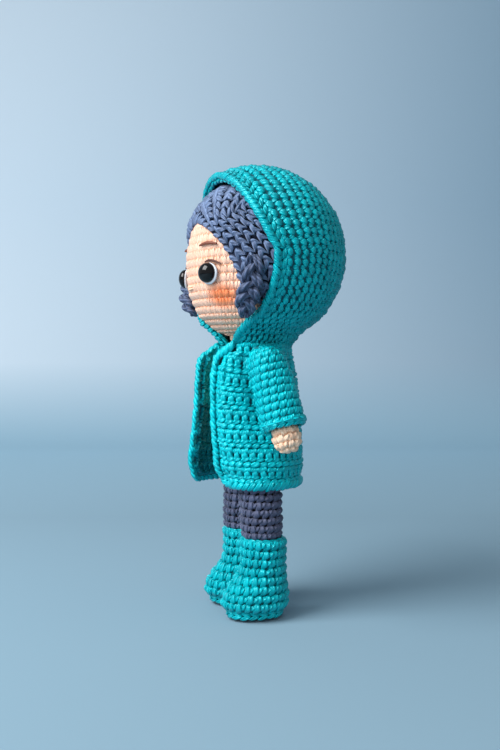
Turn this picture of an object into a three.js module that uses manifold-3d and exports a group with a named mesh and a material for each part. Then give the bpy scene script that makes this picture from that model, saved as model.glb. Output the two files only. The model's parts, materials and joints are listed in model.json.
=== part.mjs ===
// Crocheted doll in a hooded coat and boots.
// Millimetres, +Z up. The doll faces -Y and its own left side is +X.
// It is drawn from the floor midway between its legs, and centred in depth at the end.
import * as THREE from 'three';
import { mergeVertices } from 'three/addons/utils/BufferGeometryUtils.js';
import Module from 'manifold-3d';

const wasm = await Module();
wasm.setup();

// Fits shared by all pieces
const seatGap = 0.3; // between pieces that touch
const slideGap = 0.6; // between pieces that slide on each other
const overrun = 30; // how far a cutter runs past what it cuts
const weldDistance = 0.0001;
const radians = THREE.MathUtils.degToRad;

// Head: a ball of crochet, slightly squarer than a sphere
const headRadius = 35;
const headHalfHeight = 36;
const headHeight = 171; // of its centre above the floor
const headSetback = 2; // of its centre behind the legs
const headWall = 2.5;
const headSquareness = 2.4; // exponent of the outline
const headSides = 24;
const headRows = 8;

// Eyes: domes on shanks, each locked by a washer inside the head
const eyeRadius = 4.5;
const eyeDome = 3.3;
const eyeLip = 0.6;
const eyeDrop = 5; // below the head's centre
const eyeDeg = 30.5; // round from the front
const shankRadius = 1.75;
const shankLength = 9;
const washerRadius = 4.5;
const washerThickness = 1.2;
const washerSeat = 1.4; // off the curved inside of the head
const feltRadius = 5.3;
const feltThickness = 0.8;
const feltOffset = 0.7; // outwards and down, so that a crescent shows
const eyeSides = 12;

// Embroidery on the face
const lashThickness = 1;
const browThickness = 1.6;
const noseThickness = 1.8;
const noseWidth = 8;
const noseDrop = 11;
const stitchSides = 6;
const stitchSteps = 6;
const lashPath = [[25.5, 0.03], [29.7, 0.05], [35, 0.035], [40.6, -0.03]];
const browPath = [[21, 0.215], [28, 0.25], [34, 0.255], [36.4, 0.235]];

// Hair: a cap with a centre parting, and a plait at each temple
const hairThickness = 3;
const hairColumns = 36;
const hairBorderShares = [
  [0, 0.58], [19, 0.49], [30, 0.38], [41, 0.23], [51, -0.03], [56, -0.3],
  [59, -0.52], [63, -0.64], [72, -0.58], [90, -0.5], [120, -0.44], [180, -0.42],
];
const plaitLobeWidth = 11;
const plaitLobeHeight = 12;
const plaitLobeDepth = 10.4;
const plaitReach = 38.5; // of the lobes' centres from the head's axis
const plaitLobeSides = 8;
const plaitLeftLobes = [[70, -0.06], [70, -0.27], [67, -0.45], [65, -0.6]];
const plaitRightLobes = [[60, -0.02], [58, -0.22], [56, -0.42], [54, -0.58]];
const plaitRimShare = -0.3; // height on the hood's rim, of its radius, that the plaits keep clear of

// Body: torso and neck in one
const bodyFloor = 72.3; // its underside
const bodyTop = 138.5; // the neck's end, inside the head
const bodyHalfWidth = 19.3;
const bodyHalfDepth = 14.6;
const bodySetback = 1.4;
const bodyWall = 2;
const neckRadius = 7.4;
const bodySides = 14;
const bodyShares = [
  [0, 0.93, 0.82], [0.06, 1, 0.95], [0.2, 0.92, 1], [0.38, 0.78, 0.93], [0.54, 0.68, 0.85],
  [0.68, 0.62, 0.74], [0.76, 0.56, 0.66], [0.82, 0.45, 0.57],
];
const neckStartShare = 0.86;
const rodRadius = 2;
const rodFoot = 100;
const rodTop = 160;
const shoulderThreadRadius = 0.6;
const cordButtonRadius = 2.6;
const cordButtonThickness = 1.2;
const cordHole = 0.9;

// Legs
const legRadius = 9.8;
const stumpRadius = 9.6; // inside the boot
const legSpacing = 26.6;
const legLean = 3; // inwards at the top
const legWall = 2;
const legSides = 14;
const stumpTop = 42;

// Boots
const bootHeight = 38.8;
const bootShaftRadius = 12;
const bootHalfWidth = 12.7;
const bootToeLength = 19.5;
const bootHeelLength = 13;
const bootWall = 2;
const bootSoleThickness = 2.2;
const insoleThickness = 1.2;
const bootSides = 18;
const bootShares = [
  [0, 0.95, 0.94, 0.95], [0.05, 1, 1, 1], [0.25, 1, 0.985, 0.99], [0.4, 0.975, 0.87, 0.96],
  [0.5, 0.95, 0.715, 0.935], [0.6, 0.945, 0.63, 0.925],
];
const toePadHeight = 17;
const toePadStart = 6; // ahead of the leg's axis

// Coat
const coatHem = 65;
const coatTop = 131.2;
const coatHalfWidth = 25.2;
const coatHalfDepth = 24;
const coatSetback = 1.5;
const coatWall = 3;
const coatSides = 24;
const coatShares = [
  [0, 1, 1], [0.22, 0.93, 0.99], [0.41, 0.842, 0.975], [0.59, 0.722, 0.955], [0.71, 0.706, 0.925],
  [0.83, 0.706, 0.87], [0.92, 0.698, 0.8], [1, 0.68, 0.74],
];
const flapHem = 66.5;
const flapTop = 127;
const flapHemBulge = 6.5;
const flapTopBulge = 2.5;
const flapRows = 7;
const flapColumns = 6;
const hingeTopShares = [0.488, -0.49]; // of the coat's half width and half depth
const hingeFootShares = [0.925, -0.165];
const leftEdgeShares = [
  [0, 0.318, -0.74], [0.17, 0.318, -0.845], [0.37, 0.318, -0.935], [0.6, 0.318, -0.975],
  [0.78, 0.318, -0.935], [1, 0.318, -0.82],
];
const rightEdgeShares = [
  [0, 0.556, -1.245], [0.08, 0.54, -1.24], [0.31, 0.44, -1.2], [0.64, 0.318, -1.115],
  [0.91, 0.318, -1.06], [1, 0.318, -1.03],
];

// Arms and sleeves, which turn about a sideways axis at the shoulder
const shoulderReach = 25.2; // from the middle of the doll
const shoulderSetback = -1;
const shoulderHeight = 123;
const armSplayDeg = 15.5;
const armBackDeg = 9;
const armRadius = 6;
const wristRadius = 5.5;
const armWall = 1.8;
const stubRadius = 5.4;
const stubReach = 12.3; // how far the stub runs in towards the body
const handRadius = 7.2;
const handDistance = 35.8;
const wristShare = 0.8; // of the hand's radius, from its middle back to the wrist
const handStartDeg = -54; // where the hand's ball starts, below its widest place
const sleeveLength = 30.5;
const sleeveWall = 2.8;
const sleeveShoulderRadius = 9.2;
const sleeveCuffRadius = 10.8;
const sleeveShares = [[0, 0], [0.25, 0.45], [0.5, 0.7], [0.9, 1]]; // of its length and of its swell
const sleeveStart = 18.3; // from the middle of the doll
const armholeRadius = 6;
const armSides = 10;
const sleeveSides = 14;

// Hood: two spherical layers, so that the upper one slides back over the lower one
const hoodSetback = 2.5;
const hoodLift = 5; // of its centre above the head's
const hoodHeight = headHeight + hoodLift;
const hoodEase = 3.9; // from the hair out to the lower layer
const hoodWall = 1.5;
const hoodLowerWall = 1.4;
const hoodLowerInner = headRadius + slideGap + hairThickness + hoodEase;
const hoodLowerOuter = hoodLowerInner + hoodLowerWall;
const hoodUpperInner = hoodLowerOuter + slideGap;
const hoodRadius = hoodUpperInner + hoodWall;
const hoodSides = 28;
const hoodRings = 16;
const hoodBackDeg = -28; // the upper layer's lower edge, behind
const hoodLowerBackDeg = -5; // the lower layer's upper edge, behind
const hoodLowerFrontDeg = 155; // the lower layer's upper edge, in front
const hoodRimShares = [
  [1.2, -0.47], [0.82, -0.4], [0.42, -0.29], [0, -0.232], [-0.3, -0.215], [-0.5, -0.211],
  [-0.68, -0.26], [-0.8, -0.328], [-0.96, -0.385], [-1.2, -0.42],
];
const bandWall = 1.8;
const bandFoot = coatTop + seatGap; // the neckline seam
const bandFootRadius = 17.5;
const bandTopDeg = 51.7; // below the hood's widest place
const bandTopHeight = hoodHeight - hoodRadius * Math.sin(radians(bandTopDeg));
const bandTopRadius = hoodRadius * Math.cos(radians(bandTopDeg)) - bandWall / 2;
const bandMidShare = 0.417; // of the way up from the foot to the top
const bandMidHeight = bandFoot + bandMidShare * (bandTopHeight - bandFoot);
const bandMidRadius = 22;

const yarn = (color) => new THREE.MeshStandardMaterial({ color, roughness: 0.75, metalness: 0 });
const peach = yarn(0xf2d3b4);
const slateBlue = yarn(0x6f81a0);
const slate = yarn(0x343b50);
const teal = yarn(0x12a5b6);
const tealDark = yarn(0x0f93a3);
const fibre = yarn(0xf1eee6);
const feltWhite = yarn(0xf4f2ee);
const brown = yarn(0x3a2620);
const redBrown = yarn(0x8a4a34);
const board = yarn(0xd9cdb5);
const thread = yarn(0xd8d2c4);
const wood = new THREE.MeshStandardMaterial({ color: 0xcaa775, roughness: 0.6, metalness: 0 });
const glossBlack = new THREE.MeshStandardMaterial({ color: 0x0a0a0c, roughness: 0.08, metalness: 0 });
const whitePlastic = new THREE.MeshStandardMaterial({ color: 0xe8e8e6, roughness: 0.4, metalness: 0 });

// A closed geometry as a solid, with its faces pointing out
function toSolid(geometry) {
  const bare = geometry.clone();
  bare.deleteAttribute('normal');
  bare.deleteAttribute('uv');
  const welded = mergeVertices(bare, weldDistance);
  const position = welded.getAttribute('position');
  const index = welded.getIndex().array;
  const corners = [new THREE.Vector3(), new THREE.Vector3(), new THREE.Vector3()];
  const faces = [];
  let volume = 0;
  for (let i = 0; i < index.length; i += 3) {
    const [a, b, c] = index.slice(i, i + 3);
    if (a === b || b === c || c === a) continue;
    faces.push(a, b, c);
    corners.forEach((corner, k) => corner.fromBufferAttribute(position, index[i + k]));
    volume += corners[0].dot(corners[1].cross(corners[2]));
  }
  if (volume < 0) faces.reverse();
  const vertProperties = Float32Array.from(position.array);
  return new wasm.Manifold(new wasm.Mesh({ numProp: 3, vertProperties, triVerts: Uint32Array.from(faces) }));
}

function toGeometry(solid) {
  const { vertProperties, triVerts } = solid.getMesh();
  const geometry = new THREE.BufferGeometry();
  geometry.setAttribute('position', new THREE.BufferAttribute(vertProperties, 3));
  geometry.setIndex(new THREE.BufferAttribute(triVerts, 1));
  geometry.computeVertexNormals();
  return geometry;
}

// The other side's copy of a solid, mirrored left to right
function mirrored(solid) {
  const geometry = toGeometry(solid);
  geometry.scale(-1, 1, 1);
  return toSolid(geometry);
}

const join = (solids) => solids.reduce((whole, solid) => whole.add(solid));

// A solid turned about the upright axis from [radius, height] points, which start and end on it
function revolve(profile, sides) {
  const points = profile.map(([radius, height]) => new THREE.Vector2(radius, height));
  return new THREE.LatheGeometry(points, sides).rotateX(Math.PI / 2);
}

// A solid through rings of points, one above the other, with a flat cap at each end
function loft(sections) {
  const flat = sections[0].map((point) => new THREE.Vector2(point.x, point.y));
  const rings = THREE.ShapeUtils.isClockWise(flat) ? sections.map((ring) => [...ring].reverse()) : sections;
  const count = rings[0].length;
  const index = [];
  for (let row = 0; row < rings.length - 1; row++) {
    for (let i = 0; i < count; i++) {
      const a = row * count + i;
      const b = row * count + ((i + 1) % count);
      index.push(a, b, b + count, a, b + count, a + count);
    }
  }
  const caps = [[rings[0], 0, true], [rings.at(-1), (rings.length - 1) * count, false]];
  for (const [ring, first, down] of caps) {
    const outline = ring.map((point) => new THREE.Vector2(point.x, point.y));
    for (const face of THREE.ShapeUtils.triangulateShape(outline, [])) {
      index.push(...(down ? [...face].reverse() : face).map((corner) => corner + first));
    }
  }
  const geometry = new THREE.BufferGeometry();
  const positions = rings.flat().flatMap((point) => point.toArray());
  geometry.setAttribute('position', new THREE.Float32BufferAttribute(positions, 3));
  geometry.setIndex(index);
  return geometry;
}

// A level oval, with its own reach forwards and backwards
function ovalRing(height, halfWidth, front, back, sides, x = 0, y = 0) {
  return Array.from({ length: sides }, (_, i) => {
    const turn = (i / sides) * 2 * Math.PI;
    const reach = Math.cos(turn) > 0 ? back : front;
    return new THREE.Vector3(x - halfWidth * Math.sin(turn), y + reach * Math.cos(turn), height);
  });
}

function circleRing(height, radius, sides, x = 0, y = 0) {
  return ovalRing(height, radius, radius, radius, sides, x, y);
}

function rod(radius, low, high, sides) {
  return revolve([[0, low], [radius, low], [radius, high], [0, high]], sides);
}

// A value from [place, value] rows, straight between them
function along(rows, place, column = 1) {
  const next = rows.findIndex((row) => row[0] >= place);
  if (next === 0) return rows[0][column];
  if (next < 0) return rows.at(-1)[column];
  const [before, after] = [rows[next - 1], rows[next]];
  const share = (place - before[0]) / (after[0] - before[0]);
  return before[column] + share * (after[column] - before[column]);
}

function thread3d(points, thickness) {
  const outline = new THREE.Shape();
  for (let i = 0; i < stitchSides; i++) {
    const turn = (i / stitchSides) * 2 * Math.PI;
    const x = (thickness / 2) * Math.cos(turn);
    const y = (thickness / 2) * Math.sin(turn);
    if (i === 0) outline.moveTo(x, y);
    else outline.lineTo(x, y);
  }
  const extrudePath = new THREE.CatmullRomCurve3(points);
  return new THREE.ExtrudeGeometry(outline, { steps: stitchSteps, extrudePath, bevelEnabled: false });
}

const figure = new THREE.Group();
const headGroup = new THREE.Group();
headGroup.position.set(0, headSetback, headHeight);
const hoodGroup = new THREE.Group();
hoodGroup.position.set(0, hoodSetback, hoodHeight);
figure.add(headGroup, hoodGroup);

function addPiece(group, name, solid, material) {
  const piece = new THREE.Mesh(toGeometry(solid), material);
  piece.name = name;
  group.add(piece);
}

function sideGroup(side, x, y, z) {
  const group = new THREE.Group();
  group.position.set(side * x, y, z);
  figure.add(group);
  return group;
}

const leftAndRight = [['left', 1], ['right', -1]];

// Head-shaped profile grown or shrunk by an offset, from its open foot to the crown
function headProfile(offset, footRadius) {
  const radius = headRadius + offset;
  const halfHeight = headHalfHeight + offset;
  const power = 2 / headSquareness;
  const footTurn = footRadius ? -Math.acos((footRadius / radius) ** (1 / power)) : -Math.PI / 2;
  const points = [];
  for (let i = 0; i <= headRows; i++) {
    const turn = footTurn + (i / headRows) * (Math.PI / 2 - footTurn);
    const height = halfHeight * Math.sign(Math.sin(turn)) * Math.abs(Math.sin(turn)) ** power;
    points.push([i === headRows ? 0 : radius * Math.abs(Math.cos(turn)) ** power, height]);
  }
  if (!footRadius) points[0][0] = 0;
  return points;
}

const headRadiusAt = (height, offset = 0) => {
  const share = Math.min(1, Math.abs(height) / (headHalfHeight + offset));
  return (headRadius + offset) * (1 - share ** headSquareness) ** (1 / headSquareness);
};

// A point off the face: degrees round from the front to the doll's left, height from the head's centre
function facePoint(deg, height, offset) {
  const reach = headRadiusAt(height) + offset;
  return new THREE.Vector3(reach * Math.sin(radians(deg)), -reach * Math.cos(radians(deg)), height);
}

// Stands a solid made along +Z on the face, at a place round from the front
function onFace(geometry, deg, height) {
  geometry.rotateX(Math.PI / 2);
  geometry.rotateZ(radians(deg));
  const place = facePoint(deg, height, 0);
  return geometry.translate(place.x, place.y, place.z);
}

const neckHole = neckRadius + seatGap;
const headBall = (offset) => toSolid(revolve(headProfile(offset, 0), headSides));

// Head, its filling, and what its eyes need
function makeHead() {
  const outer = headProfile(0, neckHole);
  const inner = headProfile(-headWall, neckHole).reverse();
  let skin = toSolid(revolve([...inner, ...outer], headSides));
  const rodHole = rodRadius + seatGap;
  const neckEnd = bodyTop + seatGap - headHeight;
  const rodEnd = rodTop + seatGap - headHeight;
  const core = headProfile(-headWall - seatGap, neckHole);
  let filling = toSolid(revolve([[0, core[0][1]], ...core], headSides));
  const neckRoom = rod(neckHole, -headHalfHeight - overrun, neckEnd, bodySides);
  filling = filling.subtract(toSolid(neckRoom));
  filling = filling.subtract(toSolid(rod(rodHole, -headHalfHeight - overrun, rodEnd, eyeSides)));
  const washerTop = -headWall - washerSeat;
  for (const [side, sign] of leftAndRight) {
    const deg = sign * eyeDeg;
    const shankHole = rod(shankRadius + seatGap, -shankLength - seatGap, overrun, eyeSides);
    skin = skin.subtract(toSolid(onFace(shankHole, deg, -eyeDrop)));
    const room = revolve([
      [0, -shankLength - seatGap], [washerRadius + seatGap, -shankLength - seatGap],
      [washerRadius + seatGap, 0], [0, 0],
    ], eyeSides);
    filling = filling.subtract(toSolid(onFace(room, deg, -eyeDrop)));

    const feltTop = seatGap + feltThickness;
    const eyeBack = feltTop + seatGap;
    const shank = [[0, -shankLength], [shankRadius, -shankLength], [shankRadius, eyeBack]];
    const dome = [...shank, [eyeRadius, eyeBack]];
    const domeSteps = 5;
    for (let i = 0; i <= domeSteps; i++) {
      const turn = (i / domeSteps) * (Math.PI / 2);
      const rise = eyeBack + eyeLip + (eyeDome - eyeLip) * Math.sin(turn);
      dome.push([i === domeSteps ? 0 : eyeRadius * Math.cos(turn), rise]);
    }
    const eye = toSolid(onFace(revolve(dome, eyeSides), deg, -eyeDrop));
    addPiece(headGroup, `eye_${side}`, eye, glossBlack);

    const shankRoom = rod(shankRadius + seatGap, -overrun, overrun, eyeSides);
    const felt = rod(feltRadius, seatGap, feltTop, eyeSides).translate(sign * feltOffset, -feltOffset, 0);
    const feltSolid = toSolid(felt).subtract(toSolid(shankRoom));
    const feltOnFace = toSolid(onFace(toGeometry(feltSolid), deg, -eyeDrop));
    addPiece(headGroup, `eye_white_${side}`, feltOnFace, feltWhite);

    const washer = toSolid(rod(washerRadius, washerTop - washerThickness, washerTop, eyeSides));
    const washerRing = toGeometry(washer.subtract(toSolid(shankRoom)));
    const washerOnFace = toSolid(onFace(washerRing, deg, -eyeDrop));
    addPiece(headGroup, `eye_washer_${side}`, washerOnFace, whitePlastic);

    const stitched = [
      ['lash', lashPath, lashThickness, brown],
      ['brow', browPath, browThickness, redBrown],
    ];
    for (const [name, path, thickness, material] of stitched) {
      const offset = seatGap + thickness / 2;
      const points = path.map(([at, share]) => facePoint(sign * at, share * headHalfHeight, offset));
      addPiece(headGroup, `${name}_${side}`, toSolid(thread3d(points, thickness)), material);
    }
  }
  addPiece(headGroup, 'head', skin, peach);
  addPiece(headGroup, 'head_stuffing', filling, fibre);
  const noseOffset = seatGap + noseThickness / 2;
  const noseDeg = THREE.MathUtils.radToDeg(noseWidth / 2 / headRadius);
  const nosePoints = [-1, 0, 1].map((step) => facePoint(step * noseDeg, -noseDrop, noseOffset));
  addPiece(headGroup, 'nose_stitch', toSolid(thread3d(nosePoints, noseThickness)), peach);
}

// Everything inside the hood keeps within this ball, round the hood's own centre
function hoodRoom() {
  const ball = new THREE.SphereGeometry(hoodLowerInner - slideGap, hoodSides, hoodRings);
  return toSolid(ball.translate(0, hoodSetback - headSetback, hoodHeight - headHeight));
}

function makeHair() {
  const top = [];
  const inside = [];
  const foot = [];
  const far = headRadius + overrun;
  const near = headRadius / 2;
  for (let i = 0; i < hairColumns; i++) {
    const deg = (i / hairColumns) * 360 - 180;
    const height = headHalfHeight * along(hairBorderShares, Math.abs(deg));
    const [x, y] = [Math.sin(radians(deg)), -Math.cos(radians(deg))];
    foot.push(new THREE.Vector3(x * far, y * far, -headHalfHeight - overrun));
    top.push(new THREE.Vector3(x * far, y * far, height));
    inside.push(new THREE.Vector3(x * near, y * near, height));
  }
  const below = toSolid(loft([foot, top, inside]));
  const cap = headBall(hairThickness + slideGap).subtract(headBall(slideGap)).subtract(below);
  addPiece(headGroup, 'hair_cap', cap.intersect(hoodRoom()), slateBlue);
}

// A plait: flattened lobes down the temple, clear of the hair and of the hood's rim
function makePlait(side, sign, lobes) {
  const parts = lobes.map(([deg, share]) => {
    const lobe = new THREE.SphereGeometry(1, plaitLobeSides, plaitLobeSides - 2);
    lobe.scale(plaitLobeWidth / 2, plaitLobeDepth / 2, plaitLobeHeight / 2);
    lobe.rotateZ(sign * radians(deg));
    const [x, y] = [Math.sin(radians(sign * deg)), -Math.cos(radians(sign * deg))];
    return toSolid(lobe.translate(plaitReach * x, plaitReach * y, share * headHalfHeight));
  });
  const rimShare = along([...hoodRimShares].reverse(), plaitRimShare);
  const rimDepth = rimShare * hoodRadius + hoodSetback - headSetback;
  const block = new THREE.BoxGeometry(headRadius * 4, overrun * 2, headHalfHeight * 4);
  const behindRim = toSolid(block.translate(0, rimDepth - slideGap + overrun, 0));
  const plait = join(parts).subtract(headBall(hairThickness + slideGap + seatGap)).subtract(behindRim);
  addPiece(headGroup, `braid_${side}`, plait, slateBlue);
}

// Body, filling, the rod that holds the head up, and the thread that joints the arms
const bodyRise = bodyTop - bodyFloor;

function bodyRings(shrink, low, high) {
  const neck = neckRadius - shrink;
  const rings = bodyShares.map(([share, width, depth]) => {
    const height = bodyFloor + share * bodyRise;
    const halfDepth = bodyHalfDepth * depth - shrink;
    return ovalRing(height, bodyHalfWidth * width - shrink, halfDepth, halfDepth, bodySides, 0, bodySetback);
  });
  rings.push(circleRing(bodyFloor + neckStartShare * bodyRise, neck, bodySides, 0, headSetback));
  rings.push(circleRing(high, neck, bodySides, 0, headSetback));
  rings[0].forEach((point) => point.setZ(low));
  return rings;
}

function makeBody() {
  const cordRoom = rod(cordHole, -overrun * 2, overrun * 2, eyeSides).rotateY(Math.PI / 2);
  const cordHoles = toSolid(cordRoom.translate(0, shoulderSetback, shoulderHeight));
  const inner = toSolid(loft(bodyRings(bodyWall, bodyFloor + bodyWall, bodyTop + overrun)));
  const skin = toSolid(loft(bodyRings(0, bodyFloor, bodyTop))).subtract(inner).subtract(cordHoles);
  addPiece(figure, 'body', skin, peach);

  const fillingFloor = bodyFloor + bodyWall + seatGap;
  const rodRoom = rod(rodRadius + seatGap, rodFoot - seatGap, bodyTop + overrun, eyeSides);
  const filling = toSolid(loft(bodyRings(bodyWall + seatGap, fillingFloor, bodyTop - seatGap)));
  const bored = filling.subtract(toSolid(rodRoom.translate(0, headSetback, 0))).subtract(cordHoles);
  addPiece(figure, 'body_stuffing', bored, fibre);

  const neckRod = rod(rodRadius, rodFoot, rodTop, eyeSides).translate(0, headSetback, 0);
  addPiece(figure, 'neck_rod', toSolid(neckRod), wood);

  const buttonIn = shoulderReach;
  const buttonOut = buttonIn + cordButtonThickness;
  const cord = revolve([
    [0, -buttonOut], [cordButtonRadius, -buttonOut],
    [cordButtonRadius, -buttonIn], [shoulderThreadRadius, -buttonIn],
    [shoulderThreadRadius, buttonIn], [cordButtonRadius, buttonIn],
    [cordButtonRadius, buttonOut], [0, buttonOut],
  ], stitchSides * 2).rotateY(Math.PI / 2);
  addPiece(figure, 'shoulder_cord', toSolid(cord.translate(0, shoulderSetback, shoulderHeight)), thread);
}

// Legs: straight stumps inside the boots, leaning in towards the body above them
const legX = legSpacing / 2;
const legFoot = bootSoleThickness + insoleThickness + seatGap * 2;
const legTop = bodyFloor - seatGap;

function legRings(shrink, low, high) {
  const lean = (height) => -legLean * Math.max(0, (height - stumpTop) / (legTop - stumpTop));
  const toeRound = stumpRadius / 4;
  const middle = (stumpTop + legTop) / 2;
  const rings = [
    circleRing(low, stumpRadius - toeRound - shrink, legSides),
    circleRing(low + toeRound, stumpRadius - shrink, legSides),
    circleRing(stumpTop, stumpRadius - shrink, legSides),
    circleRing(middle, legRadius - shrink, legSides, lean(middle)),
    circleRing(Math.min(high, legTop), legRadius - shrink, legSides, lean(legTop)),
  ];
  if (high > legTop) rings.push(circleRing(high, legRadius - shrink, legSides, lean(legTop)));
  return rings;
}

function makeLegs() {
  const outer = toSolid(loft(legRings(0, legFoot, legTop)));
  const skin = outer.subtract(toSolid(loft(legRings(legWall, legFoot + legWall, legTop + overrun))));
  const shrink = legWall + seatGap;
  const filling = toSolid(loft(legRings(shrink, legFoot + shrink, legTop - seatGap)));
  for (const [side, sign] of leftAndRight) {
    const group = sideGroup(sign, legX, 0, 0);
    const own = (solid) => (sign > 0 ? solid : mirrored(solid));
    addPiece(group, `leg_${side}`, own(skin), slate);
    addPiece(group, `leg_stuffing_${side}`, own(filling), fibre);
  }
}

// Boots, each with a stiff insole and a padded toe
function bootRings(shrink, low, high) {
  const rings = bootShares.map(([share, width, toe, heel]) => ovalRing(
    share * bootHeight,
    bootHalfWidth * width - shrink,
    bootToeLength * toe - shrink,
    bootHeelLength * heel - shrink,
    bootSides,
  ));
  rings[0].forEach((point) => point.setZ(low));
  rings.push(circleRing((bootShares.at(-1)[0] + 1) * (bootHeight / 2), bootShaftRadius - shrink, bootSides));
  rings.push(circleRing(high, bootShaftRadius - shrink, bootSides));
  return rings;
}

function makeBoots() {
  const room = bootRings(bootWall, bootSoleThickness, bootHeight + overrun);
  room[1].forEach((point) => point.setZ(bootSoleThickness + seatGap));
  const upper = toSolid(loft(bootRings(0, 0, bootHeight))).subtract(toSolid(loft(room)));
  const footbed = bootRings(bootWall + seatGap, bootSoleThickness + seatGap, bootHeight);
  const insoleTop = bootSoleThickness + seatGap + insoleThickness;
  const insoleRing = (height) => footbed[0].map((point) => point.clone().setZ(height));
  const insole = toSolid(loft([insoleRing(bootSoleThickness + seatGap), insoleRing(insoleTop)]));
  footbed.slice(0, 2).forEach((ring, row) => {
    ring.forEach((point) => point.setZ(insoleTop + seatGap * (row + 1)));
  });
  const legRoom = toSolid(rod(stumpRadius + slideGap, 0, bootHeight + overrun, legSides));
  const size = overrun * 2;
  const toeBox = new THREE.BoxGeometry(size, size, toePadHeight + size);
  const toeSide = toSolid(toeBox.translate(0, -toePadStart - overrun, (toePadHeight - size) / 2));
  const toePad = toSolid(loft(footbed)).subtract(legRoom).intersect(toeSide);
  for (const [side, sign] of leftAndRight) {
    const group = sideGroup(sign, legX, 0, 0);
    addPiece(group, `boot_${side}`, upper, teal);
    addPiece(group, `insole_${side}`, insole, board);
    addPiece(group, `toe_stuffing_${side}`, toePad, fibre);
  }
}

// Coat: the back with its yoke and armholes, and two fronts that swing on slanted lines
const coatRise = coatTop - coatHem;

function coatRings(shrink, extra) {
  return coatShares.map(([share, width, depth], row) => {
    const stretch = row === 0 ? -extra : row === coatShares.length - 1 ? extra : 0;
    const halfDepth = coatHalfDepth * depth - shrink;
    const height = coatHem + share * coatRise + stretch;
    return ovalRing(height, coatHalfWidth * width - shrink, halfDepth, halfDepth, coatSides, 0, coatSetback);
  });
}

// The left front's swinging line at a height
function hingePoint(height) {
  const share = (height - coatHem) / (flapTop - coatHem);
  const [wide, deep] = hingeFootShares.map((foot, i) => foot + share * (hingeTopShares[i] - foot));
  return new THREE.Vector3(coatHalfWidth * wide, coatSetback + coatHalfDepth * deep, height);
}

function makeCoatBack() {
  const knuckle = coatWall / 2 + slideGap;
  const ends = [coatHem - overrun, coatTop + overrun];
  const wedge = ends.map((height) => {
    const line = hingePoint(height);
    const far = line.x + overrun;
    const front = -coatHalfDepth - overrun;
    const out = line.y - overrun / 4;
    return [
      [-line.x, line.y + knuckle], [-far, out], [-far, front],
      [far, front], [far, out], [line.x, line.y + knuckle],
    ].map(([x, y]) => new THREE.Vector3(x, y, height));
  });
  let back = toSolid(loft(coatRings(0, 0))).subtract(toSolid(loft(coatRings(coatWall, overrun))));
  back = back.subtract(toSolid(loft(wedge)));
  for (const [, sign] of leftAndRight) {
    const pin = loft(ends.map((height) => {
      const line = hingePoint(height);
      return circleRing(height, knuckle, stitchSides * 2, sign * line.x, line.y);
    }));
    back = back.subtract(toSolid(pin));
    const armhole = rod(armholeRadius, 0, shoulderReach * 2, armSides).rotateY(sign * (Math.PI / 2));
    back = back.subtract(toSolid(armhole.translate(0, shoulderSetback, shoulderHeight)));
  }
  addPiece(figure, 'coat_back', back, teal);
}

// A front flap: a bowed strip from its swinging line to its free edge
function makeFlap(side, sign, edgeShares) {
  const half = coatWall / 2;
  const rings = [];
  for (let row = 0; row <= flapRows; row++) {
    const share = row / flapRows;
    const height = flapHem + share * (flapTop - flapHem);
    const start = hingePoint(height);
    const [edgeWide, edgeDeep] = [1, 2].map((column) => along(edgeShares, share, column));
    const edgeX = coatHalfWidth * edgeWide;
    const edgeY = coatSetback + coatHalfDepth * edgeDeep + half;
    const end = new THREE.Vector3(edgeX, edgeY, height);
    const middle = start.clone().lerp(end, 0.5);
    const outwards = new THREE.Vector3(start.y - end.y, end.x - start.x, 0).normalize();
    const bulge = flapHemBulge + share * (flapTopBulge - flapHemBulge);
    const bow = new THREE.QuadraticBezierCurve3(start, middle.addScaledVector(outwards, bulge), end);
    const outer = [];
    const inner = [];
    for (let column = 0; column <= flapColumns; column++) {
      const place = bow.getPoint(column / flapColumns);
      const run = bow.getTangent(column / flapColumns);
      const normal = new THREE.Vector3(-run.y, run.x, 0);
      outer.push(place.clone().addScaledVector(normal, half));
      inner.push(place.clone().addScaledVector(normal, -half));
    }
    const tip = bow.getTangent(0).multiplyScalar(-half).add(start);
    rings.push([tip, ...outer, ...inner.reverse()]);
  }
  const turned = rings.map((ring) => ring.map((point) => point.setX(sign * point.x)));
  addPiece(figure, `coat_front_${side}`, toSolid(loft(turned)), teal);
}

// A limb solid along -Z from the shoulder, laid to its splay and tilt
function layLimb(geometry) {
  geometry.rotateX(Math.PI);
  geometry.rotateY(-radians(armSplayDeg));
  return geometry.rotateX(radians(armBackDeg));
}

// Half a ball at the start of a limb, then [distance, radius] rows
function limb(startRadius, rows, limbSides) {
  const profile = [];
  const capSteps = 4;
  for (let i = 0; i < capSteps; i++) {
    const turn = (i / capSteps) * (Math.PI / 2);
    profile.push([i ? startRadius * Math.sin(turn) : 0, -startRadius * Math.cos(turn)]);
  }
  for (const [distance, radius] of rows) profile.push([radius, distance]);
  return toSolid(layLimb(revolve(profile, limbSides)));
}

function armSolid(shrink, stubEnd) {
  const hand = handRadius - shrink;
  const rows = [[0, armRadius - shrink], [handDistance - hand * wristShare, wristRadius - shrink]];
  const handSteps = 6;
  for (let i = 1; i <= handSteps; i++) {
    const turn = radians(handStartDeg + (i / handSteps) * (90 - handStartDeg));
    rows.push([handDistance + hand * Math.sin(turn), i === handSteps ? 0 : hand * Math.cos(turn)]);
  }
  const stub = rod(stubRadius - shrink, 0, stubEnd, armSides).rotateY(-Math.PI / 2);
  return limb(armRadius - shrink, rows, armSides).add(toSolid(stub));
}

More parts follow.
